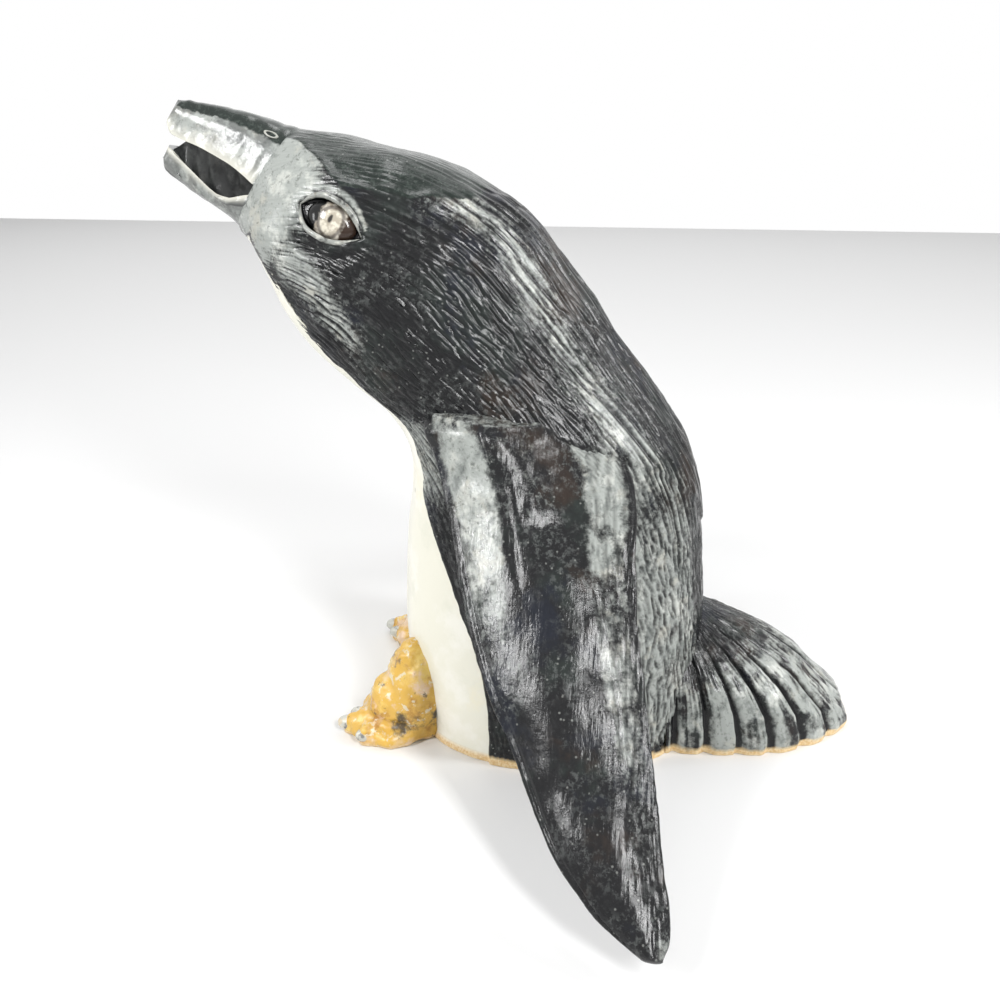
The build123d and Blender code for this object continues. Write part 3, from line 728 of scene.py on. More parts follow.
def coat_height(coat):
    """Height of the clay over the skin, with the glaze facts that belong to it."""
    face, smooth = pale_face(coat)
    crown, brow = crown_and_brow(coat)
    furrow = furrow_mask(coat)
    face, smooth = face * (1 - crown), smooth * (1 - crown)
    eye_near = np.linalg.norm(coat.local * [0.75, 1, 0.6], axis=-1)
    comb = (1 - 0.9 * smooth) * (1 - 0.8 * crown) * (1 - 0.75 * fade(9 * mm, 14 * mm, eye_near))
    root_fade = fade(last_ring - 0.5, last_ring - 0.05, coat.ring)
    near_lip = 1 - coat.parted * fade(0.5 * mm, 3.0 * mm, coat.edge)
    height = coat.strokes * comb * comb_depth * root_fade * near_lip
    height += lumps(coat.base, *finger_lumps) * (1 - 0.5 * smooth) + cape_relief(coat)
    height += brow * brow_height * root_fade - furrow * furrow_depth
    # Bare clay and a small flare at the foot rim
    foot = coat.base[..., 2]
    rim_top = rim_height + lumps(coat.base * [1, 1, 0], (1.1 * mm, 6 * mm, 7))
    flare = rim_flare * fade(2 * mm, 6 * mm, foot) * (1 + lumps(coat.base, (0.5, 4 * mm, 8)))
    height = height * smooth_step(0, 5 * mm, foot) + flare
    # The rolled lip of the black clay over the white front
    from_lip = coat.edge + lumps(coat.base, (0.35 * mm, 3 * mm, 9))
    height -= lip_drop * coat.parted * fade(0.0, 1.7 * mm, from_lip)
    stroke = coat.strokes * comb
    # The furrow is darkened with painted shade.
    facts = dict(groove=np.clip(-stroke, 0, 1), ridge=np.clip(2 * stroke, 0, 1), dark=furrow, moss=crown)
    # Grey marks thin pale glaze and painted sheen.
    facts["grey"] = np.clip(np.maximum(face, thin_glaze_and_sheen(coat)), 0, 1)
    facts["bare"] = fade(-0.4 * mm, 0.5 * mm, foot - rim_top)
    return height, facts


print("cape tip", round(cape_tip / mm), "mm up the skin")

# %% The torso coat
wall = 5.6 * mm
inner_step = 6


def every(step, count):
    """Every so many numbers from 0, and always the last one."""
    return np.unique(np.append(np.arange(0, count, step), count - 1))


def inner_grid(base, normal, rows):
    """A coarse grid one wall inside the skin, at some of its rows and columns."""
    return (base - normal * wall)[np.ix_(rows, every(2 * inner_step, base.shape[1]))]


def close_inside(clay, numbers, base, normal):
    """Closes an open sheet with an inner face, joined to it along its four borders."""
    inner = inner_grid(base, normal, every(inner_step, len(base)))
    inner[..., 2] = np.maximum(inner[..., 2], base[..., 2].min())
    # The inner face is bare clay with painted shade.
    inner_numbers = clay.add(inner, dark=0.6, bare=1.0)
    clay.sheet(inner_numbers)
    for border in ((0, ...), (-1, ...), (..., 0), (..., -1)):
        clay.strip(numbers[border], inner_numbers[border])


coat = CoatGrid(0, neck_ring, 120, 460)
height, facts = coat_height(coat)
torso_points = coat.base + coat.normal * height[..., None]
torso_points[0, :, 2] = 0.0
torso_clay = Clay()
numbers = torso_clay.add(torso_points, coat.flow, **facts)
torso_clay.sheet(numbers)
close_inside(torso_clay, numbers, coat.base, coat.normal)
torso_coat = place_piece(torso_clay.piece("torso_coat"), "body_shell")

# %% The head coat with its sockets
press_share = 1.15

coat = CoatGrid(neck_ring, last_ring, 150, 460)
height, facts = coat_height(coat)
in_almond = smooth_step(-0.4 * mm, 1.4 * mm, almond(coat.local, 0.3 * mm))
in_almond = in_almond * (np.abs(coat.local[..., 2]) < 12 * mm)
press = in_almond * socket_depth * press_share
head_points = coat.base + coat.normal * height[..., None]
head_points = head_points - press[..., None] * np.array(gaze) * to_left(head_points)
# Painted shade in the pressed sockets, where no pale glaze is laid.
pressed = smooth_step(0.3 * mm, 2.0 * mm, press)
facts["dark"] = np.maximum(facts["dark"], pressed)
facts["grey"] = facts["grey"] * (1 - pressed)
head_clay = Clay()
numbers = head_clay.add(head_points, coat.flow, **facts)
head_clay.sheet(numbers)
print("sockets pressed", round(float(press.max()) / mm, 1), "mm deep")

# %% The mouth, a bowl that runs back into the head
back_y, back_z, front_y, front_z = stations[last_ring][:4]
root_middle = np.array([0, (back_y + front_y) / 2, (back_z + front_z) / 2])
root_height = math.hypot(back_y - front_y, back_z - front_z)
bill_up = np.array([0, back_y - front_y, back_z - front_z]) / root_height
bill_out = np.array([0, -bill_up[2], bill_up[1]])
bowl_rings = [(0.95, 1.6 * mm), (0.75, 5 * mm), (0.5, 9 * mm), (0.2, 12 * mm)]
bowl_depth, blind_depth, last_inner_row = 12.5 * mm, 34 * mm, 104

# The bowl of the mouth is filled with painted shade.
bowl = [numbers[-1]]
for shrink, depth in bowl_rings:
    ring = root_middle + (head_points[-1, ::4] - root_middle) * shrink - bill_out * depth
    bowl.append(head_clay.add(ring, dark=1.0))
for first, second in zip(bowl, bowl[1:]):
    head_clay.strip(first, second)
    head_clay.faces.append([int(first[-1]), int(first[0]), int(second[0]), int(second[-1])])
head_clay.close_ring(bowl[-1], root_middle - bill_out * bowl_depth, dark=1.0)

# The inner face of the head is a blind room that ends in one point well behind the mouth; it gets painted
# shade
inner_points = inner_grid(coat.base, coat.normal, np.arange(0, last_inner_row, inner_step))
inner_numbers = head_clay.add(inner_points, dark=0.8)
head_clay.sheet(inner_numbers)
blind = head_clay.add([root_middle - bill_out * blind_depth], dark=0.8)
head_clay.strip(numbers[0], inner_numbers[0])
for column in (0, -1):
    head_clay.strip(numbers[:, column], np.append(inner_numbers[:, column], blind))
head_clay.strip(inner_numbers[-1], blind)
head_clay.faces.append([int(numbers[-1, 0]), int(numbers[-1, -1]), int(blind[0])])
head_coat = place_piece(head_clay.piece("head_coat"), "head_shell")

# %% [markdown]
# The white front is a smooth sheet that lies a little deeper than the coat and reaches under its lip, as a
# slab of pale clay would that was covered at the sides by the black. It runs up to the chin as a strip.

# %% The white front
panel_sink, panel_tuck, throat_rise = 1.2 * mm, 5 * mm, 0.9 * mm
panel_rows, panel_columns = 150, 90
widest_reach = math.pi * 0.62

rings = ring_rows(0, last_ring - 0.75, panel_rows)
half_widths = fair_rows(stations, rings)[:, 4]
reach = np.minimum(math.pi - coat_angle(rings) + panel_tuck / half_widths, widest_reach)
angle = math.pi + np.linspace(-1, 1, panel_columns)[None, :] * reach[:, None]
base = skin(rings[:, None], angle)
normal = outward(base, ring_middles(rings))
foot = base[..., 2]
height = throat_rise * smooth_step(neck_ring + 1, neck_ring + 3, rings)[:, None] - panel_sink
height = height + lumps(base, (0.45 * mm, 26 * mm, 10), (0.08 * mm, 8 * mm, 11))
height += (0.9 * mm + lumps(base, (0.3 * mm, 5 * mm, 12))) * fade(1.5 * mm, 5 * mm, foot)
panel_points = base + normal * height[..., None]
panel_points[0, :, 2] = 0.0
rim_top = 3.0 * mm + lumps(base * [1, 1, 0], (1.0 * mm, 6 * mm, 13))
panel_clay = Clay()
numbers = panel_clay.add(panel_points, bare=fade(-0.5 * mm, 0.6 * mm, foot - rim_top))
panel_clay.sheet(numbers)
close_inside(panel_clay, numbers, base, normal)
white_front = place_piece(panel_clay.piece("white_front"), "breast_panel")

# %% [markdown]
# The bill grows out of the head with the same section and narrows to a blunt beak. Both halves are rings of
# corners along the bill: an outer arch and a nearly flat inner side. The lower half is a trough. Tables give
# the half width and the upper and lower line of each half at places along the bill.

# %% Lines of the bill
bill_length, bill_width = 48.5 * mm, 31 * mm
plan_shares = [
    (-0.10, 0.58), (0.000, 0.545), (0.080, 0.500), (0.280, 0.400),
    (0.620, 0.265), (0.860, 0.190), (0.96, 0.150), (1.000, 0.09),
]
upper_top_shares = [
    (-0.10, 0.490), (0.000, 0.500), (0.100, 0.462), (0.300, 0.385),
    (0.640, 0.248), (0.880, 0.132), (0.97, 0.075), (1.000, 0.030),
]
upper_low_shares = [
    (-0.10, -0.045), (0.000, -0.045), (0.240, -0.045), (0.560, -0.095),
    (0.845, -0.160), (0.93, -0.10), (1.000, 0.000),
]
lower_top_shares = [
    (-0.10, -0.10), (0.000, -0.15), (0.060, -0.21), (0.130, -0.28),
    (0.260, -0.325), (0.600, -0.300), (0.86, -0.285), (0.920, -0.300),
]
lower_low_shares = [
    (-0.10, -0.54), (0.000, -0.520), (0.100, -0.500), (0.270, -0.490),
    (0.540, -0.490), (0.780, -0.482), (0.87, -0.400), (0.920, -0.330),
]


def along_table(table, places):
    """A table of (place, share) rows read on a fair curve at places along the bill."""
    table = np.array(table)
    return fair_rows(table, np.interp(places, table[:, 0], np.arange(len(table))))[:, 1]


def bill_points(outs, ups):
    """Points on the middle plane of the bill at shares of its length and of its root's height."""
    return root_middle + outs[..., None] * bill_length * bill_out + ups[..., None] * root_height * bill_up


def bill_ring(outs, top, low, half, outer_is_top, trough):
    """Rings of corners along one half of the bill."""
    around = np.linspace(0, 2 * math.pi, 72, endpoint=False)[None, :]
    arch = np.sin(around) + 0 * outs[:, None]
    inner_line, outer_line = (low, top) if outer_is_top else (top, low)
    full = (outer_line - inner_line)[:, None]
    hollow = -full * trough[:, None] * np.abs(arch) ** 0.8
    up = inner_line[:, None] + np.where(arch > 0, full * np.abs(arch) ** 1.15, hollow)
    points = bill_points(outs[:, None], up)
    points[..., 0] += half[:, None] * swell(np.cos(around), 0.9)
    return points, arch


print("bill", round(bill_length / mm, 1), "mm long, root", round(root_height / mm, 1), "mm high")

# %% The root of the bill and the web in the corner of the mouth
web_rows, web_columns = 60, 24
web_depth, tool_marks = 4.4 * mm, [(0.7 * mm, 6 * mm, 23), (0.15 * mm, 2.5 * mm, 24)]


def turn_and_reach(points):
    """Direction and distance of points round the axis of the bill, with their height on it."""
    up = (points - root_middle) @ bill_up
    return np.arctan2(up, points[..., 0]), np.hypot(up, points[..., 0]), up


def join_head(points, outs, arch):
    """Draws the outer side of the root out to the rim of the head, so that no step shows."""
    rim_turn, rim_reach, _ = turn_and_reach(head_points[-1])
    order = np.argsort(rim_turn)
    turn, reach, up = turn_and_reach(points)
    root = np.argmin(np.abs(outs))
    goal = np.interp(turn[root], rim_turn[order], rim_reach[order], period=2 * math.pi) + 0.1 * mm
    pull = zone(outs, -0.04, 0.0, 0.0, 0.5)[:, None] * smooth_step(-0.25, 0.1, arch)
    stretch = (goal / np.maximum(reach[root], mm) - 1) * pull
    return points + stretch[..., None] * (points * [1, 0, 0] + up[..., None] * bill_up)


def mouth_web(clay):
    """The clay left between the two halves, with painted shade, and upright marks of the tool that opened the
    mouth.
    """
    outs, share = np.linspace(-0.14, 0.85, web_rows)[:, None], np.linspace(0, 1, web_columns)[None, :]
    low = along_table(lower_top_shares, outs[:, 0])[:, None] - 0.12
    high = along_table(upper_low_shares, outs[:, 0])[:, None] + 0.06
    front = smooth_step(0.64, 0.90, outs)
    high = high + (low + 0.02 - high) * front
    middle = bill_points(outs, low + (high - low) * share)
    marks = lumps(middle * [1, 3.5, 0.5], tool_marks[0]) + lumps(middle, tool_marks[1])
    thick = web_depth * (1 - 0.75 * front) + 2.0 * mm * (2 * share - 1) ** 2 + marks
    thick = thick * (1 - 0.5 * smooth_step(0.6, 0.84, outs))
    # Painted shade on the web, deepest in the dips of the tool marks.
    dark = 0.93 + 0.07 * np.clip(-marks / mm, -1, 1)
    left, right = [clay.add(middle + side * thick[..., None] * [1, 0, 0], dark=dark) for side in (1, -1)]
    clay.sheet(left)
    clay.sheet(right)
    for border in ((0, ...), (-1, ...), (..., 0), (..., -1)):
        clay.sheet(np.array([left[border], right[border]]))


# %% Nostrils
nostril_place, nostril_out = (8.7 * mm, -100.3 * mm, 253.2 * mm), (0.70, 0.08, 0.71)
nostril_length, nostril_height, nostril_coil = 2.9 * mm, 1.15 * mm, 0.45 * mm


def circle(count):
    """Even turns round a full circle, as cosines and sines."""
    turns = np.linspace(0, 2 * math.pi, count, endpoint=False)
    return turns, np.cos(turns)[:, None], np.sin(turns)[:, None]


def nostrils(clay, points):
    """A small raised oval ring on each side of the upper half."""
    turns, cosines, sines = circle(40)
    _, coil_cosines, coil_sines = circle(10)
    thick = nostril_coil + 0.14 * mm * np.sin(turns * 2 + 1)
    flat = points.reshape(-1, 3)
    for side in (1, -1):
        middle, out = nostril_place * np.array([side, 1, 1]), nostril_out * np.array([side, 1, 1])
        nearest = flat[np.argmin(np.linalg.norm(flat - middle, axis=1))]
        along = unit(bill_out - out * np.dot(bill_out, out))
        across = np.cross(out, along)
        path = nearest + out * 0.15 * mm + along * cosines * nostril_length + across * sines * nostril_height
        radial = path - nearest
        radial = unit(radial - out * (radial @ out)[:, None])
        ring = path[:, None] + thick[:, None, None] * (radial[:, None] * coil_cosines + out * coil_sines)
        # The cream on each ring is a painted highlight.
        numbers = clay.add(ring, grey=1.0, ridge=0.45)
        clay.sheet(np.concatenate([numbers, numbers[:1]]), round_about=True)


# %% The two halves of the bill
root_start, tip_round, bill_lumps_share = -0.10, 0.10, 0.5
crest_height, rim_bead = 0.5 * mm, 0.35 * mm


def bill_half(name, top_table, low_table, end, outer_is_top, trough_share, node):
    """One half of the bill as a closed piece with a rounded tip."""
    tip_steps = np.sin(np.linspace(0, math.pi / 2, 16)[1:])
    straight_end = end - tip_round
    outs = np.append(np.linspace(root_start, straight_end, 60), straight_end + tip_round * tip_steps)
    top, low = along_table(top_table, outs), along_table(low_table, outs)
    half = along_table(plan_shares, np.minimum(outs / end, 1)) * bill_width
    half = half * np.sqrt(np.clip(1 - ((outs - (end - 0.045)) / 0.045).clip(0) ** 2, 0.02, 1))
    trough = trough_share * fade(end - 0.32, end - 0.05, outs)
    points, arch = bill_ring(outs, top, low, half, outer_is_top, trough)
    out = outs[:, None]
    crest = bell(arch - 0.62, 0.16) * smooth_step(0.15, 0.35, out)
    rim = bell(arch, 0.22) * (out > 0)
    height = lumps(points, *finger_lumps) * bill_lumps_share + lumps(points, (0.15 * mm, 3 * mm, 21))
    height = (height + crest * crest_height + rim * rim_bead) * fade(end - 0.06, end, out)
    points = points + outward(points, points.mean(axis=1, keepdims=True)) * height[..., None]
    points = join_head(points, outs, arch)
    # Painted shade on the inner side of each half, where it faces the other half.
    dark = smooth_step(0.15, 0.7, -arch) * (1 - 0.6 * smooth_step(0.3, 0.8, out))
    moss_line = 0.80 if outer_is_top else 1.3
    mottled = arch + lumps(points, (0.07, 9 * mm, 22), (0.04, 1.6 * mm, 25))
    moss = smooth_step(moss_line - 0.12, moss_line + 0.10, mottled)
    if not outer_is_top:
        moss = np.clip(moss + smooth_step(0.80, 0.95, arch), 0, 1)
    clay = Clay()
    numbers = clay.add(points, grey=1.0, dark=dark, moss=moss, ridge=rim)
    clay.sheet(numbers, round_about=True)
    if outer_is_top:
        nostrils(clay, points)
    else:
        mouth_web(clay)
    for row in (0, -1):
        clay.close_ring(numbers[row], points[row].mean(axis=0), grey=1.0)
    return place_piece(clay.piece(name), node)


upper_beak = bill_half("upper_beak", upper_top_shares, upper_low_shares, 0.965, True, -0.12, "upper_bill")
lower_beak = bill_half("lower_beak", lower_top_shares, lower_low_shares, 0.857, False, -0.50, "lower_bill")

# %% [markdown]
# Each eye is a pale dome with two thin coils of clay for lids. The coils meet in the corners of the almond
# and get thinner there, as a rolled coil does when its ends are pressed down.

# %% Eyeballs
dome_along, dome_up, dome_height, dome_shift = 10.6 * mm, 6.9 * mm, 4.6 * mm, 0.3 * mm
dome_floor = -socket_depth - 0.2 * mm
dome_foot = dome_floor - 2.0 * mm


def eye_dome(name):
    """A flattened dome that stands in the socket."""
    radii = np.sin(np.linspace(0.02, 1, 22) * math.pi / 2)[:, None]
    _, cosines, sines = circle(48)
    x = radii * cosines.T * dome_along + dome_shift
    y = radii * sines.T * dome_up
    z = np.sqrt(1 - radii**2) * dome_height + dome_floor + 0 * x
    clay = Clay()
    numbers = clay.add(from_eye(np.stack([x, y, z], axis=-1)), np.stack([x, y, 0 * x], axis=-1))
    clay.sheet(numbers, round_about=True)
    for row, height in ((0, dome_floor + dome_height), (-1, dome_foot)):
        clay.close_ring(numbers[row], from_eye([dome_shift, 0, height]), [dome_shift, 0, 0])
    return clay.piece(name)


left_eyeball = place_piece(eye_dome("left_eyeball"), "left_eye")
right_eyeball = place_piece(mirror_piece(left_eyeball, "right_eyeball"), "right_eye")


# %% Eyelids
lid_rise = eye_opening / 2 + 0.45 * mm
lid_lift, corner_press, lid_tail_power = 0.25 * mm, 0.6 * mm, 2.1


def coil(path, radii):
    """A tube along a path near the eye, with its own radius at each point."""
    tangent = unit(np.gradient(path, axis=0))
    sideways = unit(np.cross(tangent, np.array(gaze)))
    up = np.cross(sideways, tangent)
    _, cosines, sines = circle(14)
    return path[:, None] + (sideways[:, None] * cosines + up[:, None] * sines) * radii[:, None, None]


def eyelid(name, direction, thick, start, end):
    """One lid: a coil that rises from corner to corner over or under the eye."""
    t = np.linspace(start, end, 60)
    power = np.where(t < 0, eye_front_power, lid_tail_power)
    y = direction * (1 - np.abs(t) ** power).clip(-0.2) * lid_rise
    z = lid_lift - t**2 * eye_corner_sink - corner_press * np.abs(t) ** 3
    path = from_eye(np.stack([t * eye_length / 2, y, z], axis=-1))
    from_middle = (t - (start + end) / 2) / ((end - start) / 2)
    radii = thick * (1 - 0.70 * from_middle**4) * (1 + lumps(path, (0.10, 4 * mm, 30 + direction)))
    clay = Clay()
    numbers = clay.add(coil(path, radii), grey=0.8)
    clay.sheet(numbers, round_about=True)
    for row in (0, -1):
        clay.close_ring(numbers[row], path[row], grey=0.8)
    return clay.piece(name)


eyelids = []
lid_rows = [("upper", 1, 1.25 * mm, -1.02, 1.08), ("lower", -1, 1.05 * mm, -1.0, 1.02)]
for kind, direction, thick, start, end in lid_rows:
    lid = eyelid(f"left_{kind}_eyelid", direction, thick, start, end)
    eyelids.append(place_piece(lid, f"left_{kind}_lid"))
for kind, lid in zip(("upper", "lower"), eyelids[:2]):
    eyelids.append(place_piece(mirror_piece(lid, f"right_{kind}_eyelid"), f"right_{kind}_lid"))

# %% [markdown]
# A flipper is a slab of clay, pinched convex on its outer side and thin at its edges. Its sections follow a
# bent spine from the shoulder outward and down to a blunt tip. At the top it ends in a lumpy ledge that
# stands a few millimetres proud under the neck.

# %% The slab of a flipper
flipper_spread, flipper_drop, flipper_chord = 123.5 * mm, 137 * mm, 78 * mm
flipper_thickness, flipper_edge = 12 * mm, 2.2 * mm
outer_bulge_share, inner_bulge_share = 0.70, 0.25
flipper_shares = [
    (-0.113, -0.095, -0.500, 0.300, 1.00),
    (0.000, 0.000, -0.500, 0.330, 1.00),
    (0.113, 0.168, -0.391, 0.545, 0.90),
    (0.275, 0.365, -0.276, 0.571, 0.80),
    (0.453, 0.547, -0.135, 0.628, 0.72),
    (0.648, 0.730, 0.083, 0.692, 0.64),
    (0.785, 0.839, 0.224, 0.727, 0.55),
    (0.891, 0.920, 0.385, 0.760, 0.45),
    (0.955, 0.971, 0.526, 0.769, 0.35),
    (1.000, 1.000, 0.660, 0.744, 0.25),
]
last_place = len(flipper_shares) - 1
flipper_rows, flipper_columns = 150, 176
shoulder = np.array([0.781 * body_width / 2, body_setback - 0.066 * body_depth, 0.890 * neck_height])
around = np.linspace(0, 2 * math.pi, flipper_columns, endpoint=False)
outer_side = np.sin(around)[None, :] > 0
chord_share = ((1 - np.cos(around)) / 2)[None, :]


def flipper_points(places):
    """Points of the smooth slab at places along its table, with how far back each lies on the slab."""
    rows = fair_rows(flipper_shares, places)
    run_out, run_down = rows[:, 0] * flipper_spread, rows[:, 1] * flipper_drop
    spine = shoulder + np.stack([run_out, 0 * places, -run_down], axis=-1)
    along = unit(np.gradient(spine, axis=0))
    out = np.stack([-along[:, 2], 0 * places, along[:, 0]], axis=-1)
    thick = rows[:, 4:] * flipper_thickness
    edge = np.minimum(flipper_edge, thick) / 2 * np.abs(np.sin(around)) ** 0.5
    outer = edge + outer_bulge_share * thick * np.sin(math.pi * chord_share) ** 0.9
    inner = -edge - inner_bulge_share * thick * np.sin(math.pi * chord_share)
    lift = np.where(np.sin(around) >= 0, outer, inner)
    chord = (rows[:, 2:3] + (rows[:, 3:4] - rows[:, 2:3]) * chord_share) * flipper_chord
    points = spine[:, None, :] + out[:, None, :] * lift[..., None]
    points[..., 1] += chord
    return points, chord


fine_places = np.linspace(0, last_place, 700)
fine_points, fine_chord = flipper_points(fine_places)
ledge = shoulder[2] + 0.8 * mm * np.sin(around * 3)
slab, slab_chord = np.zeros((flipper_rows, flipper_columns, 3)), np.zeros((flipper_rows, flipper_columns))
for column in range(flipper_columns):
    cut = np.interp(-ledge[column], -fine_points[:, column, 2], fine_places)
    places = np.linspace(cut, last_place - 0.12, flipper_rows)
    slab_chord[:, column] = np.interp(places, fine_places, fine_chord[:, column])
    for axis in range(3):
        slab[:, column, axis] = np.interp(places, fine_places, fine_points[:, column, axis])
slab_run = np.linalg.norm(slab - slab[:1], axis=-1)
slab_share = np.linspace(0, 1, flipper_rows)[:, None]
print("flipper", round(float(slab_run.max()) / mm), "mm long")

# %% Comb strokes, ledge and creases of the flipper
ledge_height, ledge_rounding = 1.4 * mm, 3.0 * mm
bevel_depth, crease_depth, hollow_depth, stroke_depth = 0.5 * mm, 0.8 * mm, 1.3 * mm, 0.28 * mm
flipper_sheet = CombedSheet(0.10, 0.22)
flipper_sheet.score(1800, (8 * mm, 26 * mm), (1.0 * mm, 2.4 * mm), 0.0, 0.10, (-0.05, 0.05, 0.0, 0.22), 21)

strokes = flipper_sheet.at(slab_chord - 8 * mm, slab_run + 5 * mm)
strokes = strokes * (0.35 + 0.65 * smooth_step(0.55, 0.8, chord_share))
bevel = bell(chord_share - 0.055, 0.02) * smooth_step(0.02, 0.05, slab_run)
crease = bell(chord_share - 0.29 - 1.2 * slab_run + lumps(slab, (0.02, 9 * mm, 44)), 0.022)
crease = crease * fade(0.040, 0.07, slab_run)
hollow = bell(chord_share - 0.52, 0.17) * fade(0.030, 0.055, slab_run)
ledge_lump = bell(slab_run, 9 * mm) * (chord_share < 0.6)
outer_height = ledge_lump * (ledge_height + lumps(slab, (1.6 * mm, 8 * mm, 42))) - bevel * bevel_depth
outer_height -= crease * crease_depth + hollow * (hollow_depth + lumps(slab, (0.8 * mm, 4 * mm, 45)))
height = strokes * stroke_depth + lumps(slab, (0.8 * mm, 15 * mm, 40), (0.25 * mm, 6 * mm, 41))
height = (height + outer_height * outer_side) * fade(0.90, 1.0, slab_share)
slab = slab + outward(slab, slab.mean(axis=1, keepdims=True)) * height[..., None]
slab[..., 0] -= (1 - np.clip(slab_run / (7 * mm), 0, 1)) ** 2 * outer_side * ledge_rounding
print("flipper lumps:", round(float(np.ptp(height)) / mm, 1), "mm from the lowest to the highest")

# %% The rear top corner of the flipper is smeared on to the back
# There the slab sinks under the skin of the torso.
smear_depth = 2.0 * mm
sample_rings, sample_angles = np.linspace(1, neck_ring + 2, 200), np.linspace(0.1, math.pi - 0.1, 121)
skin_samples = skin(sample_rings[:, None], sample_angles[None, :]).reshape(-1, 3)
skin_tree = kdtree.KDTree(len(skin_samples))
for number, sample in enumerate(skin_samples):
    skin_tree.insert((0, sample[1], sample[2]), number)
skin_tree.balance()
nearest = [skin_tree.find((0, point[1], point[2]))[1] for point in slab.reshape(-1, 3)]
skin_x = skin_samples[nearest, 0].reshape(slab.shape[:2])
smear = smooth_step(0.36, 0.86, chord_share + lumps(slab, (0.05, 12 * mm, 46)))
smear = smear * fade(6 * mm, 58 * mm, slab_run)
buried = np.minimum(slab[..., 0], skin_x - smear_depth * (1 + ~outer_side))
slab[..., 0] += (buried - slab[..., 0]) * smear
print("smeared corners:", int((smear > 0.5).sum()))

# %% The finished flippers
# Painted sheen: grey bands along the front and rear edges, at the tip and high on the slab.
high_up = fade(0.02, 0.075, slab_run)
front_sheen = zone(chord_share, 0.02, 0.08, 0.24, 0.31) * fade(0.05, 0.13, slab_run)
rear_sheen = zone(chord_share, 0.70, 0.78, 0.92, 0.98) * fade(0.10, 0.19, slab_run) * (0.65 + 0.35 * high_up)
tip_sheen = smooth_step(0.80, 0.95, slab_share) * smooth_step(0.5, 0.8, chord_share)
patchy = 0.65 + lumps(slab, (0.35, 7 * mm, 47), (0.25, 2.5 * mm, 48))
grey = (front_sheen + rear_sheen + 0.45 * tip_sheen + 0.30 * high_up) * patchy * outer_side

flipper_clay = Clay()
flow = np.stack([slab_chord, slab_run + 0.5, 0 * slab_run], axis=-1)
facts = dict(groove=np.clip(-strokes, 0, 1), ridge=np.clip(strokes, 0, 1), grey=np.clip(grey, 0, 1))
numbers = flipper_clay.add(slab, flow, **facts)
flipper_clay.sheet(numbers, round_about=True)
top_middle, end_middle = slab[0].mean(axis=0), slab[-1].mean(axis=0)
end_along = unit(end_middle - slab[-3].mean(axis=0))
top_rings, end_rings = [numbers[0]], [numbers[-1]]
# The top of the ledge gets a painted highlight.
for shrink, lift in ((0.97, 0.5 * mm), (0.85, 0.8 * mm), (0.45, 0.6 * mm)):
    ring = top_middle + (slab[0] - top_middle) * shrink
    ring[:, 2] = slab[0, :, 2] + lift
    top_rings.append(flipper_clay.add(ring, grey=0.4))
flipper_clay.sheet(np.array(top_rings), round_about=True)
flipper_clay.close_ring(top_rings[-1], top_middle + [0, 0, 0.6 * mm], grey=0.4)
for shrink, push in ((0.90, 0.6 * mm), (0.65, 1.1 * mm), (0.3, 1.4 * mm)):
    end_rings.append(flipper_clay.add(end_middle + (slab[-1] - end_middle) * shrink + end_along * push))
flipper_clay.sheet(np.array(end_rings), round_about=True)
flipper_clay.close_ring(end_rings[-1], end_middle + end_along * 1.5 * mm)
left_wing = place_piece(flipper_clay.piece("left_wing"), "left_flipper")
right_wing = place_piece(mirror_piece(left_wing, "right_wing"), "right_flipper")

# %% [markdown]
# The tail is a low vault of clay on the ground, cut into feathers by grooves that run from its root to its
# rim. It is built on rays, so that a groove is simply a dip across the rays. Its rim is a slab of bare clay
# that is a little ragged and steps in at every groove.

# %% The outline of the tail fan
tail_length, tail_width, tail_height, tail_rim = 89.5 * mm, 92 * mm, 62 * mm, 6 * mm
tail_shares = [
    (0.000, 0.500, 1.000),
    (0.425, 0.467, 0.774),
    (0.660, 0.410, 0.575),
    (0.894, 0.261, 0.258),
    (1.000, 0.130, 0.112),
]
groove_shares = [0.12, 0.28, 0.44, 0.60, 0.76, 0.90]
tail_root = body_setback + 0.340 * body_depth
tail_table = fair_rows(tail_shares, np.linspace(0, len(tail_shares) - 1, 200))
notch_depth, rim_margin, root_margin = 2.2 * mm, 1.0 * mm, 4 * mm


def tail_size(along):
    """Half width and height of the fan at a share of its length."""
    return line_at(tail_table, along) * tail_width, line_at(tail_table[:, ::2], along) * tail_height


def as_rays(x, y):
    """Points round the root of the tail as rays, sorted by their turn from straight back."""
    turn = np.arctan2(x, y)
    order = np.argsort(turn)
    return np.stack([turn[order], np.hypot(x, y)[order]], axis=-1)


side_count, tip_count = 160, 60
rim_alongs = np.append(np.linspace(0.0, 0.97, side_count), np.ones(tip_count))
rim_sweep = np.append(np.ones(side_count), np.linspace(1, 0, tip_count))
rim_rays = as_rays(tail_size(rim_alongs)[0] * rim_sweep, rim_alongs * tail_length)
groove_turns = np.arctan2(tail_size(groove_shares)[0], np.array(groove_shares) * tail_length)
groove_turns = np.concatenate([-groove_turns, [0.0], groove_turns])

turns = np.linspace(-1.42, 1.42, 300)
outline = line_at(rim_rays, np.abs(turns))
to_groove = (np.abs(turns[:, None] - groove_turns) * outline[:, None]).min(axis=1)
turn_points = turns[:, None] * [1, 0, 0]
uneven = lumps(turn_points * 0.08, (0.5 * mm, 2.5 * mm, 50))
outline -= bell(to_groove, 2.2 * mm) * notch_depth + rim_margin - uneven
foot_ring = skin(0.6, np.linspace(0, 2 * math.pi, 720))
inner_reach = line_at(as_rays(foot_ring[:, 0], foot_ring[:, 1] - tail_root), turns) - root_margin
inner_reach = np.minimum(inner_reach, outline * 0.9)
print("tail grooves at", [round(math.degrees(turn)) for turn in sorted(groove_turns)], "degrees")

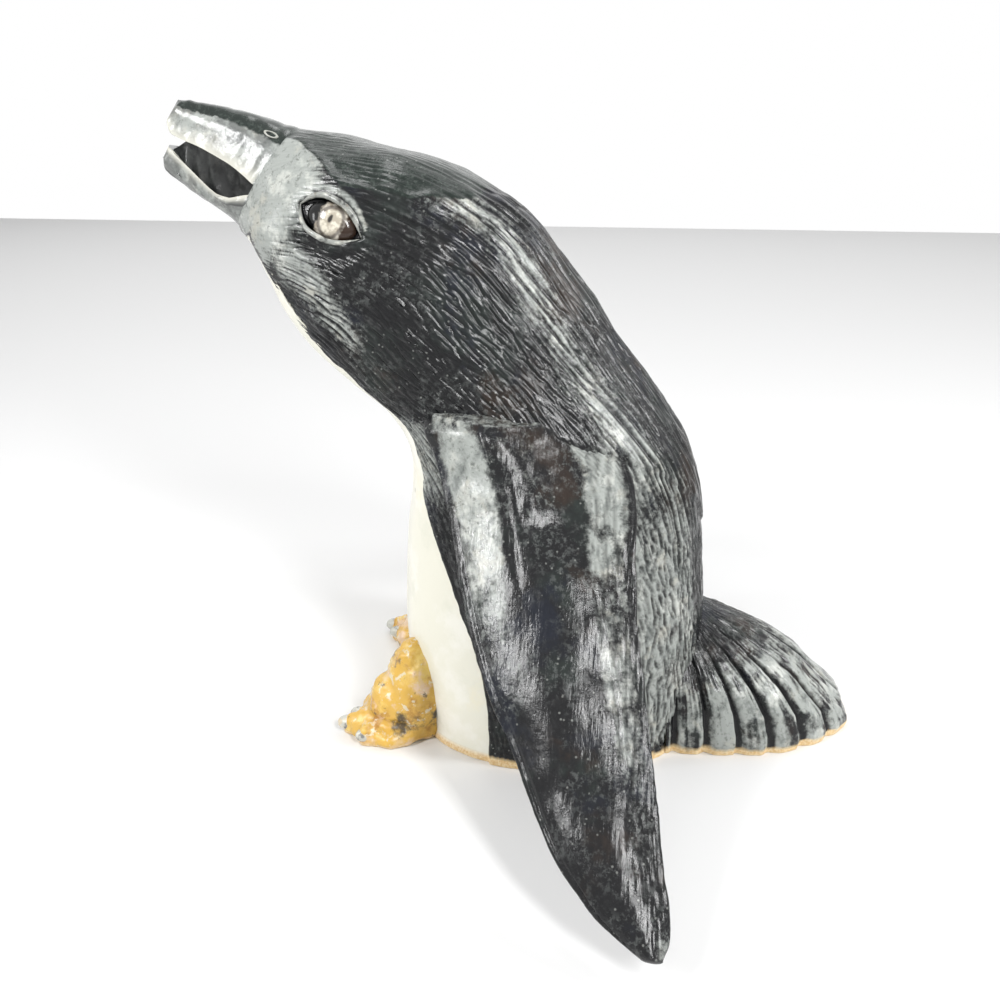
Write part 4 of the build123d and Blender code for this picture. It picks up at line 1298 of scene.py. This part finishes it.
# %% The vault of the tail, its grooves and barbs
tail_rows, vault_power = 90, 1.2
groove_depth, rim_groove_depth, feather_crown = 1.0 * mm, 3.2 * mm, 1.0 * mm
barb_height, saddle_depth = 0.35 * mm, 2.5 * mm

share = np.linspace(0, 1, tail_rows)[:, None]
reach = inner_reach + (outline - inner_reach) * share
x, y = reach * np.sin(turns), tail_root + reach * np.cos(turns)
half, high = tail_size(np.clip((y - tail_root) / tail_length, 0, 1))
inside = np.clip(1 - (np.abs(x) / np.maximum(half, 1 * mm)) ** (2 / vault_power), 0, 1)
vault = tail_rim + (high - tail_rim) * inside ** (vault_power / 2)
flat_points = np.stack([x, y, vault], axis=-1)
closest = (np.abs(turns[:, None] - groove_turns).min(axis=1)) * reach
near_rim = smooth_step(0.30, 0.95, share)
groove_width = (0.55 * mm + 0.65 * mm * near_rim) * (1 + lumps(turn_points * 0.05, (0.35, 4 * mm, 56)))
groove = bell(closest, groove_width, 4) * smooth_step(0.10, 0.30, share)
barb_points = np.stack([turns * 0.09 + 0 * reach, reach * 2.2 * 0.12, 0 * reach], axis=-1)
barbs = lumps(barb_points, (1.0, 1.4 * mm, 54))
vault += smooth_step(0.0, 5 * mm, closest) * smooth_step(0.1, 0.4, share) * feather_crown
vault += barbs * barb_height - groove * (groove_depth + rim_groove_depth * near_rim)
vault += lumps(flat_points, (0.6 * mm, 9 * mm, 51))
vault += lumps(flat_points * [1, 0.35, 1], (0.30 * mm, 2.5 * mm, 52))
vault -= saddle_depth * np.sin(math.pi * np.clip(share * 1.4, 0, 1)) * inside**2
rounding = smooth_step(0.0, 1.0, (1 - share) * (outline - inner_reach) / (2.5 * mm))
vault = np.maximum(vault, 2.2 * mm) * (0.72 + 0.28 * rounding)
fan_points = np.stack([x, y, vault], axis=-1)
print("tail vault", round(float(vault.max()) / mm), "mm high")

# %% The finished tail
lip_steps = [(0.9, 0.3), (0.78, 0.5), (0.66, 0.6), (0.54, 0.7), (0.42, 0.7), (0.2, 0.4), (0.0, 0.0)]
rim_points = fan_points[-1] * [1, 1, 0]
bare_top = 2.7 * mm + 2.4 * mm * bell(turns, 0.10) + lumps(rim_points, (1.3 * mm, 4 * mm, 53))


def bare_rim(height):
    """Mask of the bare clay at the foot of the rim."""
    return fade(-0.3 * mm, 0.4 * mm, height - bare_top)


# Painted sheen on the feathers between the grooves, with more on the barbs.
feather_sheen = 0.58 + lumps(fan_points, (0.40, 5 * mm, 55)) + 0.4 * barbs
feather_sheen = (1 - groove) * smooth_step(0.22, 0.7, share) * feather_sheen
fan_clay = Clay()
flow = np.stack([turns * 0.06 + 0 * reach, reach + 1.0, 0 * reach], axis=-1)
# Painted shade in the grooves near the rim.
facts = dict(groove=groove, dark=groove * near_rim, bare=bare_rim(vault) * (1 - groove))
facts.update(grey=np.clip(feather_sheen, 0, 1), ridge=np.clip(barbs, 0, 1))
numbers = fan_clay.add(fan_points, flow, **facts)
fan_clay.sheet(numbers)
# The rim gets the same painted sheen and painted shade.
lip_sheen = np.clip(feather_sheen[-1] + 0.1, 0, 1) * (1 - groove[-1])
lip_rows = [numbers[-1]]
for drop, push in lip_steps:
    reach_out = push * mm
    row = [x[-1] + np.sin(turns) * reach_out, y[-1] + np.cos(turns) * reach_out, vault[-1] * drop]
    row = np.stack(row, axis=-1)
    lip_rows.append(fan_clay.add(row, bare=bare_rim(row[:, 2]), grey=lip_sheen, dark=groove[-1]))
fan_clay.sheet(np.array(lip_rows))
under_numbers = fan_clay.add(fan_points[0] * [1, 1, 0], bare=1.0)
fan_clay.strip(lip_rows[-1], under_numbers)
fan_clay.strip(numbers[0], under_numbers)
for column in (0, -1):
    side = np.append(numbers[:, column], [row[column] for row in lip_rows[1:]])
    fan_clay.strip(side, under_numbers[[column]])
tail_piece = place_piece(fan_clay.piece("feathered_tail"), "tail_fan")

# %% [markdown]
# The feet are lumps of clay, pressed together by hand: a domed leg, three toes and a pale claw on each toe.
# Balls are melted into one skin by a voxel remesh, then smoothed and made a little uneven. The sole is
# pressed flat on the ground.

# %% Lumps of clay, melted from balls
def ball(shape, place, radii, turn):
    """Adds one stretched ball to a mesh in the making."""
    made = bmesh.ops.create_icosphere(shape, subdivisions=3, radius=1.0)
    cos, sin = math.cos(turn), math.sin(turn)
    for vert in made["verts"]:
        x, y, z = (c * r for c, r in zip(vert.co, radii))
        vert.co = (x * cos - y * sin + place[0], x * sin + y * cos + place[1], z + place[2])


def melted(balls, voxel, smoothing):
    """Melts balls into one skin and returns its mesh."""
    shape = bmesh.new()
    for place, radii, turn in balls:
        ball(shape, place, radii, turn)
    mesh = bpy.data.meshes.new("balls")
    shape.to_mesh(mesh)
    shape.free()
    thing = new_object("balls", mesh)
    remesh = thing.modifiers.new("melt", "REMESH")
    remesh.mode = "VOXEL"
    remesh.voxel_size = voxel
    relax = thing.modifiers.new("relax", "SMOOTH")
    relax.factor = 0.5
    relax.iterations = smoothing
    graph = bpy.context.evaluated_depsgraph_get()
    final = bpy.data.meshes.new_from_object(thing.evaluated_get(graph))
    bpy.data.objects.remove(thing)
    return final


def clay_lump(name, balls, voxel, smoothing, unevenness, layer):
    """A melted lump with a flat sole and the same glaze facts as the other pieces."""
    mesh = melted(balls, voxel, smoothing)
    points = np.array([v.co for v in mesh.vertices])
    normals = np.array([v.normal for v in mesh.vertices])
    bumps = lumps(points, (unevenness, 6 * mm, layer), (0.35 * unevenness, 2.4 * mm, layer + 1))
    points = points + normals * bumps[:, None]
    # Lids and claws have one mottled glaze each. The ochre of the feet is mottled with cream flecks that are
    # painted glints, and brown glaze has pooled on it. The crease between leg and toes is darker, partly
    # pooled glaze and partly painted shade.
    points[:, 2] = np.maximum(points[:, 2], 0.0)
    mesh.vertices.foreach_set("co", points.ravel())
    height, behind = points[:, 2], points[:, 1] - leg_place[1]
    crease = fade(3 * mm, 10 * mm, np.abs(height - 12 * mm)) * smooth_step(-13 * mm, -3 * mm, behind)
    facts = dict.fromkeys(glaze_facts, 0 * height)
    # Darker in the crease between leg and toes: partly pooled glaze, partly painted shade.
    facts["dark"] = crease * (0.55 + lumps(points, (0.45, 4 * mm, layer + 3)))
    facts["bare"] = fade(0.8 * mm, 2.2 * mm, height + lumps(points, (0.5 * mm, 4 * mm, layer + 2)))
    note_facts(mesh, points, facts)
    mesh.name = name
    mesh.shade_smooth()
    print(name, "faces", len(mesh.polygons))
    return new_object(name, mesh)


# %% Feet and claws
leg_place = np.array([0.665 * body_width / 2, body_setback - 0.445 * body_depth, 0.0])
toe_length = 30 * mm
# Each ball of the leg: its place from the middle of the leg, its radii in millimetres, and its turn
leg_balls = [
    ((-2, 2, 18), (12.9, 13.5, 28), 0.0),
    ((-1, -6, 14), (12, 12.75, 16), 0.0),
    ((0, -9, 3), (16.2, 19.5, 7.5), 0.2),
    ((-9, -15, 4.5), (8.5, 10, 9), 0.0),
    ((-3, -12, 10), (10, 9, 11), 0.0),
]
# Each toe turns outward by so many degrees and has a share of the toe length
toe_rows = [(-9.0, 0.84), (7.0, 0.96), (33.0, 0.72)]
# Each ball of a toe: how far along it lies, its width and its height in millimetres
toe_balls = [(0.45, 5.6, 9.2), (0.68, 5.4, 7.8), (0.86, 4.8, 6.2)]

foot_balls = []
for place, radii, turn in leg_balls:
    foot_balls.append((leg_place + np.array(place) * mm, np.array(radii) * mm, turn))
claw_balls = []
for degrees, length_share in toe_rows:
    heading = math.radians(degrees)
    direction = np.array([math.sin(heading), -math.cos(heading), 0])
    reach = length_share * toe_length
    for step, width, rise in toe_balls:
        place = leg_place + direction * reach * step + [0, 0, 0.45 * rise * mm]
        foot_balls.append((place, np.array([width, 7, rise]) * mm, heading))
    place = leg_place + direction * (reach - 0.5 * mm) + [0, 0, 4.4 * mm]
    claw_balls.append((place, np.array([3.3, 5.0, 3.3]) * mm, heading))
left_paw = clay_lump("left_paw", foot_balls, 0.9 * mm, 4, 1.1 * mm, 60)
place_piece(left_paw, "left_foot")
right_paw = place_piece(mirror_piece(left_paw, "right_paw"), "right_foot")
left_nails = clay_lump("left_nails", claw_balls, 0.5 * mm, 2, 0.2 * mm, 63)
place_piece(left_nails, "left_claws")
right_nails = place_piece(mirror_piece(left_nails, "right_nails"), "right_claws")

# %% [markdown]
# Every glaze here has the same three things: patches where it ran thick or thin, specks, and a fine orange
# skin. Each is a node group with named sockets, built once. The groups only put out colours, masks and
# heights; the shader itself stays in each material.

# %% Shared effects
def new_group(name, inputs, output):
    """An empty shader group with named sockets; an input is named with its value, or None for a place."""
    tree = bpy.data.node_groups.new(name, "ShaderNodeTree")
    for label, value in inputs.items():
        kind = {type(None): "Vector", float: "Float", tuple: "Color"}[type(value)]
        socket = tree.interface.new_socket(label, in_out="INPUT", socket_type="NodeSocket" + kind)
        if value is not None:
            socket.default_value = value
    label, kind = output
    tree.interface.new_socket(label, in_out="OUTPUT", socket_type="NodeSocket" + kind)
    given = tree.nodes.new("NodeGroupOutput").inputs[label]
    return tree, tree.nodes.new("NodeGroupInput").outputs, given


def noise_node(tree, place, scale, detail=3.0, roughness=0.55):
    """Plain noise at a scale given in lumps per metre."""
    values = {"Vector": place, "Scale": scale, "Detail": detail, "Roughness": roughness}
    return new_node(tree, "TexNoise", values, "Fac")


def ramp_node(tree, value, low, high):
    """A smooth mask that is 0 below low and 1 above high."""
    values = {"Value": value, "From Min": low, "From Max": high}
    return new_node(tree, "MapRange", values, "Result", interpolation_type="SMOOTHSTEP")


def mix_node(tree, mask, first, second):
    """Mixes two colours by a mask."""
    return new_node(tree, "Mix", {"Factor": mask, 6: first, 7: second}, 2, data_type="RGBA")


black = (0.0, 0.0, 0.0, 1.0)
patch_inputs = {"Place": None, "Size": 60.0, "Base": black, "First": black, "Second": black, "Third": black}
patches, taken, given = new_group("Glaze patches", patch_inputs, ("Color", "Color"))
colour = taken["Base"]
patch_rows = [(0.0, "First", 0.50, 0.64), (3.7, "Second", 0.52, 0.66), (8.1, "Third", 0.54, 0.68)]
for offset, label, low, high in patch_rows:
    moved = new_node(patches, "VectorMath", {0: taken["Place"], 1: (offset,) * 3}, operation="ADD")
    field = noise_node(patches, moved, taken["Size"], 5.0, 0.65)
    colour = mix_node(patches, ramp_node(patches, field, low, high), colour, taken[label])
join(patches, colour, given)

speck_inputs = {"Place": None, "Scale": 700.0, "Share": 0.3}
specks, taken, given = new_group("Glaze specks", speck_inputs, ("Mask", "Float"))
dots = specks.nodes.new("ShaderNodeTexVoronoi")
join(specks, taken["Place"], dots.inputs["Vector"])
join(specks, taken["Scale"], dots.inputs["Scale"])
chance = new_node(specks, "SeparateColor", {0: dots.outputs["Color"]})
chosen = sum_node(specks, "LESS_THAN", chance, taken["Share"])
round_dot = ramp_node(specks, dots.outputs["Distance"], 0.42, 0.18)
join(specks, sum_node(specks, "MULTIPLY", chosen, round_dot), given)

skin_inputs = {"Place": None, "Scale": 500.0, "Flow": None, "Streaks": 0.0}
fine_skin, taken, given = new_group("Glaze skin", skin_inputs, ("Height", "Float"))
orange = noise_node(fine_skin, taken["Place"], taken["Scale"], 5.0, 0.65)
stretched = new_node(fine_skin, "VectorMath", {0: taken["Flow"], 1: (1.0, 0.12, 1.0)}, operation="MULTIPLY")
streaks = sum_node(fine_skin, "MULTIPLY", noise_node(fine_skin, stretched, 900.0, 2.0, 0.5), taken["Streaks"])
join(fine_skin, sum_node(fine_skin, "ADD", orange, streaks), given)
print("groups:", [group.name for group in bpy.data.node_groups if group.type == "SHADER"])

# %% [markdown]
# A glaze is laid in coats: a first colour with patches, and then one more colour after another, each where a
# mask says and as thick as a share says. The masks are noise or the facts that each corner of clay carries.
# One small class keeps the material, its shader and the colour so far.

# %% A glaze in the making
tan_clay, pale_clay = (0.66, 0.44, 0.20), (0.82, 0.67, 0.42)


class Glaze:
    """A material in the making: one Principled shader with the facts of the clay as inputs."""

    def __init__(self, name, size, colours, specular=0.5):
        self.material = bpy.data.materials.new(name)
        self.material.use_nodes = True
        self.tree = self.material.node_tree
        self.shader = self.tree.nodes["Principled BSDF"].inputs
        self.shader["Specular IOR Level"].default_value = specular
        self.place = new_node(self.tree, "TexCoord", {}, "Object")
        self.colour = self.patchy(size, colours) if size else None

    def fact(self, name, kind="Fac"):
        """What the clay tells of itself under one name."""
        return new_node(self.tree, "Attribute", {}, kind, attribute_name=name)

    def sum(self, operation, first, second):
        """One sum on two values."""
        return sum_node(self.tree, operation, first, second)

    def noise(self, scale, detail, roughness):
        """Noise over the piece."""
        return noise_node(self.tree, self.place, scale, detail, roughness)

    def ramp(self, value, low, high):
        """A smooth mask of a value."""
        return ramp_node(self.tree, value, low, high)

    def mix(self, mask, first, second):
        """Two colours, mixed by a mask."""
        return mix_node(self.tree, mask, first, second)

    def broken(self, value, grain, amount):
        """A value whose edge is broken up by a grain."""
        return self.sum("ADD", value, self.sum("MULTIPLY", self.sum("SUBTRACT", grain, 0.5), amount))

    def group(self, tree, inputs):
        """One of the shared effects with its values."""
        return new_node(self.tree, "Group", {"Place": self.place, **inputs}, node_tree=tree)

    def patchy(self, size, colours):
        """A base colour with three others in patches."""
        return self.group(patches, {"Size": size, **dict(zip(("Base", "First", "Second", "Third"), colours))})

    def lay(self, mask, colour, share=None):
        """Lays one more colour over the glaze where the mask says."""
        mask = mask if share is None else self.sum("MULTIPLY", mask, share)
        self.colour = self.mix(mask, self.colour, colour)

    def lay_bare(self, smooth, rough):
        """Leaves the clay bare and dull where it says so, with paler and darker grains."""
        bare = self.fact("bare")
        self.lay(bare, self.mix(self.ramp(self.noise(900.0, 4.0, 0.7), 0.35, 0.65), tan_clay, pale_clay))
        return self.sum("MAXIMUM", smooth, self.sum("MULTIPLY", bare, rough))

    def skin(self, strength, distance, **inputs):
        """The fine orange skin as a bump."""
        height = self.group(fine_skin, inputs)
        values = {"Strength": strength, "Distance": distance, "Height": height}
        join(self.tree, new_node(self.tree, "Bump", values), self.shader["Normal"])

    def finish(self, roughness):
        """Joins the colour and the roughness to the shader."""
        join(self.tree, self.colour, self.shader["Base Color"])
        join(self.tree, roughness, self.shader["Roughness"])
        return self.material


print("tan clay:", tan_clay)

# %% [markdown]
# The black glaze is near black where it is thick, with green-grey, navy and rust patches. It is paler where
# the comb left a ridge, grey where it is thin or where sheen is painted in, with pale specks painted as
# glints and painted shade in hollows, and mossy on the crown. Bare clay is tan and dull.

# %% Grey and moss, which black and grey glaze share
pale_and_sheen_greys = ((0.33, 0.35, 0.33), (0.51, 0.525, 0.49), (0.18, 0.195, 0.185), (0.41, 0.41, 0.365))


def grey_colour(glaze):
    """Pale grey of the face and the bill, partly thin glaze and partly painted sheen, with cream where it is
    palest.
    """
    dark_grains = glaze.sum("MULTIPLY", glaze.ramp(glaze.noise(420.0, 5.0, 0.7), 0.53, 0.68), 0.6)
    return glaze.mix(dark_grains, glaze.patchy(90.0, pale_and_sheen_greys), (0.07, 0.075, 0.07))


def lay_moss(glaze, grain, amount):
    """Thick dark green-grey glaze, where the clay says moss."""
    pale_grains = glaze.ramp(glaze.noise(500.0, 5.0, 0.75), 0.48, 0.66)
    moss = glaze.mix(pale_grains, (0.011, 0.017, 0.014), (0.042, 0.054, 0.047))
    glaze.lay(glaze.ramp(glaze.broken(glaze.fact("moss"), grain, amount), 0.35, 0.62), moss)


# %% Black glaze
def black_glaze():
    """Thick black glaze over combed clay."""
    patch_colours = (0.008, 0.008, 0.009), (0.016, 0.021, 0.019), (0.009, 0.011, 0.018), (0.024, 0.016, 0.012)
    glaze = Glaze("black glaze", 30.0, patch_colours, specular=0.30)
    grain = glaze.noise(430.0, 6.0, 0.75)
    # Random grey mottle that stands for thin glaze and for painted glints.
    thin_glaze_and_glints = glaze.ramp(glaze.noise(42.0, 3.0, 0.6), 0.42, 0.62)
    thin_glaze_and_glints = glaze.sum("MULTIPLY", thin_glaze_and_glints, glaze.ramp(grain, 0.50, 0.60))
    glaze.lay(thin_glaze_and_glints, (0.13, 0.14, 0.135), 0.50)
    ridges = glaze.sum("MULTIPLY", glaze.fact("ridge"), glaze.ramp(grain, 0.42, 0.56))
    glaze.lay(ridges, (0.22, 0.23, 0.22), 0.60)
    # Grey where the glaze is thin and where sheen is painted in.
    glaze.lay(glaze.ramp(glaze.broken(glaze.fact("grey"), grain, 1.1), 0.20, 0.75), grey_colour(glaze))
    lay_moss(glaze, grain, 1.2)
    glaze.lay(glaze.fact("groove"), (0.004, 0.005, 0.005), 0.85)
    # Pale specks painted as glints.
    glaze.lay(glaze.group(specks, {"Scale": 760.0, "Share": 0.045}), (0.30, 0.31, 0.29), 0.45)
    # Painted shade in the mouth, the sockets, the furrow, the tail grooves and the hollows.
    glaze.lay(glaze.fact("dark"), (0.005, 0.005, 0.006), 0.94)
    glossy = {"Value": glaze.ramp(grain, 0.3, 0.7), "To Min": 0.11, "To Max": 0.24}
    roughness = glaze.lay_bare(new_node(glaze.tree, "MapRange", glossy), 0.8)
    glaze.skin(0.6, 0.22 * mm, Scale=380.0, Flow=glaze.fact("flow", "Vector"), Streaks=0.7)
    return glaze.finish(roughness)


# %% White and grey glaze
def white_glaze():
    """Smooth cream-white glaze with few specks."""
    patch_colours = (0.80, 0.785, 0.675), (0.85, 0.835, 0.75), (0.74, 0.735, 0.625), (0.82, 0.785, 0.63)
    glaze = Glaze("white glaze", 30.0, patch_colours)
    glaze.lay(glaze.group(specks, {"Scale": 260.0, "Share": 0.012}), (0.35, 0.31, 0.22), 0.7)
    roughness = glaze.lay_bare(0.20, 0.8)
    glaze.skin(0.18, 0.25 * mm, Scale=260.0)
    return glaze.finish(roughness)


def grey_glaze():
    """Grey glaze of the bill, pale on its edges, with painted shade on the inner sides and in the mouth."""
    glaze = Glaze("grey glaze", None, None, specular=0.42)
    glaze.colour = grey_colour(glaze)
    glaze.lay(glaze.ramp(glaze.noise(110.0, 4.0, 0.65), 0.38, 0.60), (0.085, 0.09, 0.088), 0.75)
    glaze.lay(glaze.fact("ridge"), (0.62, 0.61, 0.54), 0.9)
    lay_moss(glaze, glaze.noise(430.0, 6.0, 0.75), 0.7)
    # Painted shade on the inner sides of the halves and on the web in the mouth.
    glaze.lay(glaze.fact("dark"), (0.009, 0.009, 0.010), 0.96)
    glaze.skin(0.6, 0.25 * mm, Scale=300.0)
    return glaze.finish(0.17)


# %% [markdown]
# The eye is painted round its own axes, which its corners carry as their flow. It has a pale iris with a dark
# ring round it and a small upright pupil. Both corners of the eye are dark, with ragged edges, as a brush
# leaves them.

# %% Eye glaze
def eye_glaze():
    """A painted eye, from the white to the dark corners."""
    glaze = Glaze("eye glaze", None, None, specular=0.36)
    flow = glaze.fact("flow", "Vector")
    x, y = [new_node(glaze.tree, "SeparateXYZ", {0: flow}, axis) for axis in (0, 1)]
    wobble = glaze.noise(420.0, 3.0, 0.6)

    def oval(middle_x, middle_y, half_width, half_height):
        """Distance from the middle of an oval, 1 on its edge."""
        across = glaze.sum("DIVIDE", glaze.sum("SUBTRACT", x, middle_x * mm), half_width * mm)
        up = glaze.sum("DIVIDE", glaze.sum("SUBTRACT", y, middle_y * mm), half_height * mm)
        squares = glaze.sum("ADD", glaze.sum("MULTIPLY", across, across), glaze.sum("MULTIPLY", up, up))
        return glaze.sum("SQRT", squares, 0.0)

    def mottled(low, high, first, second):
        """Two colours in uneven flecks."""
        return glaze.mix(glaze.ramp(wobble, low, high), first, second)

    glaze.colour = mottled(0.4, 0.62, (0.62, 0.58, 0.50), (0.30, 0.26, 0.21))
    iris = glaze.ramp(oval(1.4, -0.4, 4.6, 5.6), 1.0, 0.80)
    glaze.lay(iris, mottled(0.38, 0.60, (0.66, 0.62, 0.52), (0.40, 0.36, 0.29)))
    ring = glaze.sum("SUBTRACT", glaze.ramp(oval(1.2, -0.3, 5.3, 6.3), 1.10, 0.96), iris)
    glaze.lay(ring, (0.06, 0.05, 0.045), 0.75)
    pupil = glaze.broken(oval(0.9, 0.6, 0.9, 2.0), wobble, 1.6)
    glaze.lay(glaze.ramp(pupil, 1.4, 0.6), (0.03, 0.027, 0.024))
    ragged_x = glaze.broken(x, wobble, 4 * mm)
    glaze.lay(glaze.ramp(ragged_x, -3.4 * mm, -4.6 * mm), (0.006, 0.006, 0.006))
    glaze.lay(glaze.ramp(ragged_x, 5.2 * mm, 7.2 * mm), (0.032, 0.018, 0.012))
    glaze.skin(0.2, 0.2 * mm, Scale=500.0)
    return glaze.finish(0.14)


# %% [markdown]
# Lids and claws have one mottled glaze each. The ochre of the feet is mottled with cream, and brown glaze has
# pooled on it and in the crease between leg and toes.

# %% Lid, claw and ochre glaze
def plain_glaze(name, size, patch_colours, skin_strength, skin_distance, skin_scale, roughness):
    """A glaze of patches alone."""
    glaze = Glaze(name, size, patch_colours)
    glaze.skin(skin_strength, skin_distance, Scale=skin_scale)
    return glaze.finish(roughness)


def ochre_glaze():
    """Yellow ochre, with cream flecks painted as glints, pooled brown, and a darker crease."""
    patch_colours = (0.66, 0.40, 0.07), (0.76, 0.54, 0.15), (0.42, 0.20, 0.03), (0.72, 0.52, 0.34)
    glaze = Glaze("ochre glaze", 75.0, patch_colours)
    # Cream flecks painted as glints.
    glaze.lay(glaze.ramp(glaze.noise(260.0, 4.0, 0.6), 0.58, 0.64), (0.72, 0.66, 0.50), 0.8)
    pooled = glaze.noise(120.0, 5.0, 0.7)
    glaze.lay(glaze.ramp(pooled, 0.59, 0.66), (0.10, 0.075, 0.045), 0.85)
    # Darker brown in the crease: partly pooled glaze, partly painted shade.
    glaze.lay(glaze.ramp(glaze.broken(glaze.fact("dark"), pooled, 2.5), 0.40, 0.95), (0.085, 0.060, 0.030))
    roughness = glaze.lay_bare(0.16, 0.7)
    glaze.skin(0.9, 0.5 * mm, Scale=300.0)
    return glaze.finish(roughness)


lid_colours = (0.27, 0.28, 0.26), (0.48, 0.48, 0.43), (0.06, 0.06, 0.057), (0.20, 0.18, 0.155)
claw_colours = (0.52, 0.52, 0.47), (0.68, 0.67, 0.60), (0.20, 0.20, 0.19), (0.60, 0.50, 0.34)
finishes = {
    black_glaze(): [torso_coat, head_coat, left_wing, right_wing, tail_piece],
    white_glaze(): [white_front],
    grey_glaze(): [upper_beak, lower_beak],
    eye_glaze(): [left_eyeball, right_eyeball],
    plain_glaze("lid glaze", 220.0, lid_colours, 0.4, 0.2 * mm, 700.0, 0.2): eyelids,
    ochre_glaze(): [left_paw, right_paw],
    plain_glaze("claw glaze", 240.0, claw_colours, 0.6, 0.35 * mm, 400.0, 0.16): [left_nails, right_nails],
}
for material, things in finishes.items():
    for thing in things:
        thing.data.materials.clear()
        thing.data.materials.append(material)
print("glazes:", [material.name for material in finishes])

# %% [markdown]
# The floor is a plain pale table. It isn't part of the bird.

# %% Floor
half_floor, floor_drop = 2.0, 0.2 * mm
floor_corners = [(half_floor * x, half_floor * y, 0) for x, y in ((-1, -1), (1, -1), (1, 1), (-1, 1))]
floor_mesh = bpy.data.meshes.new("floor")
floor_mesh.from_pydata(floor_corners, [], [(0, 1, 2, 3)])
floor = new_object("floor", floor_mesh)
floor.location.z = -floor_drop
table = bpy.data.materials.new("pale table")
table.use_nodes = True
table_shader = table.node_tree.nodes["Principled BSDF"].inputs
table_shader["Base Color"].default_value = (0.80, 0.80, 0.80, 1)
table_shader["Roughness"].default_value = 0.55
floor_mesh.materials.append(table)
print("floor", 2 * half_floor, "m wide")
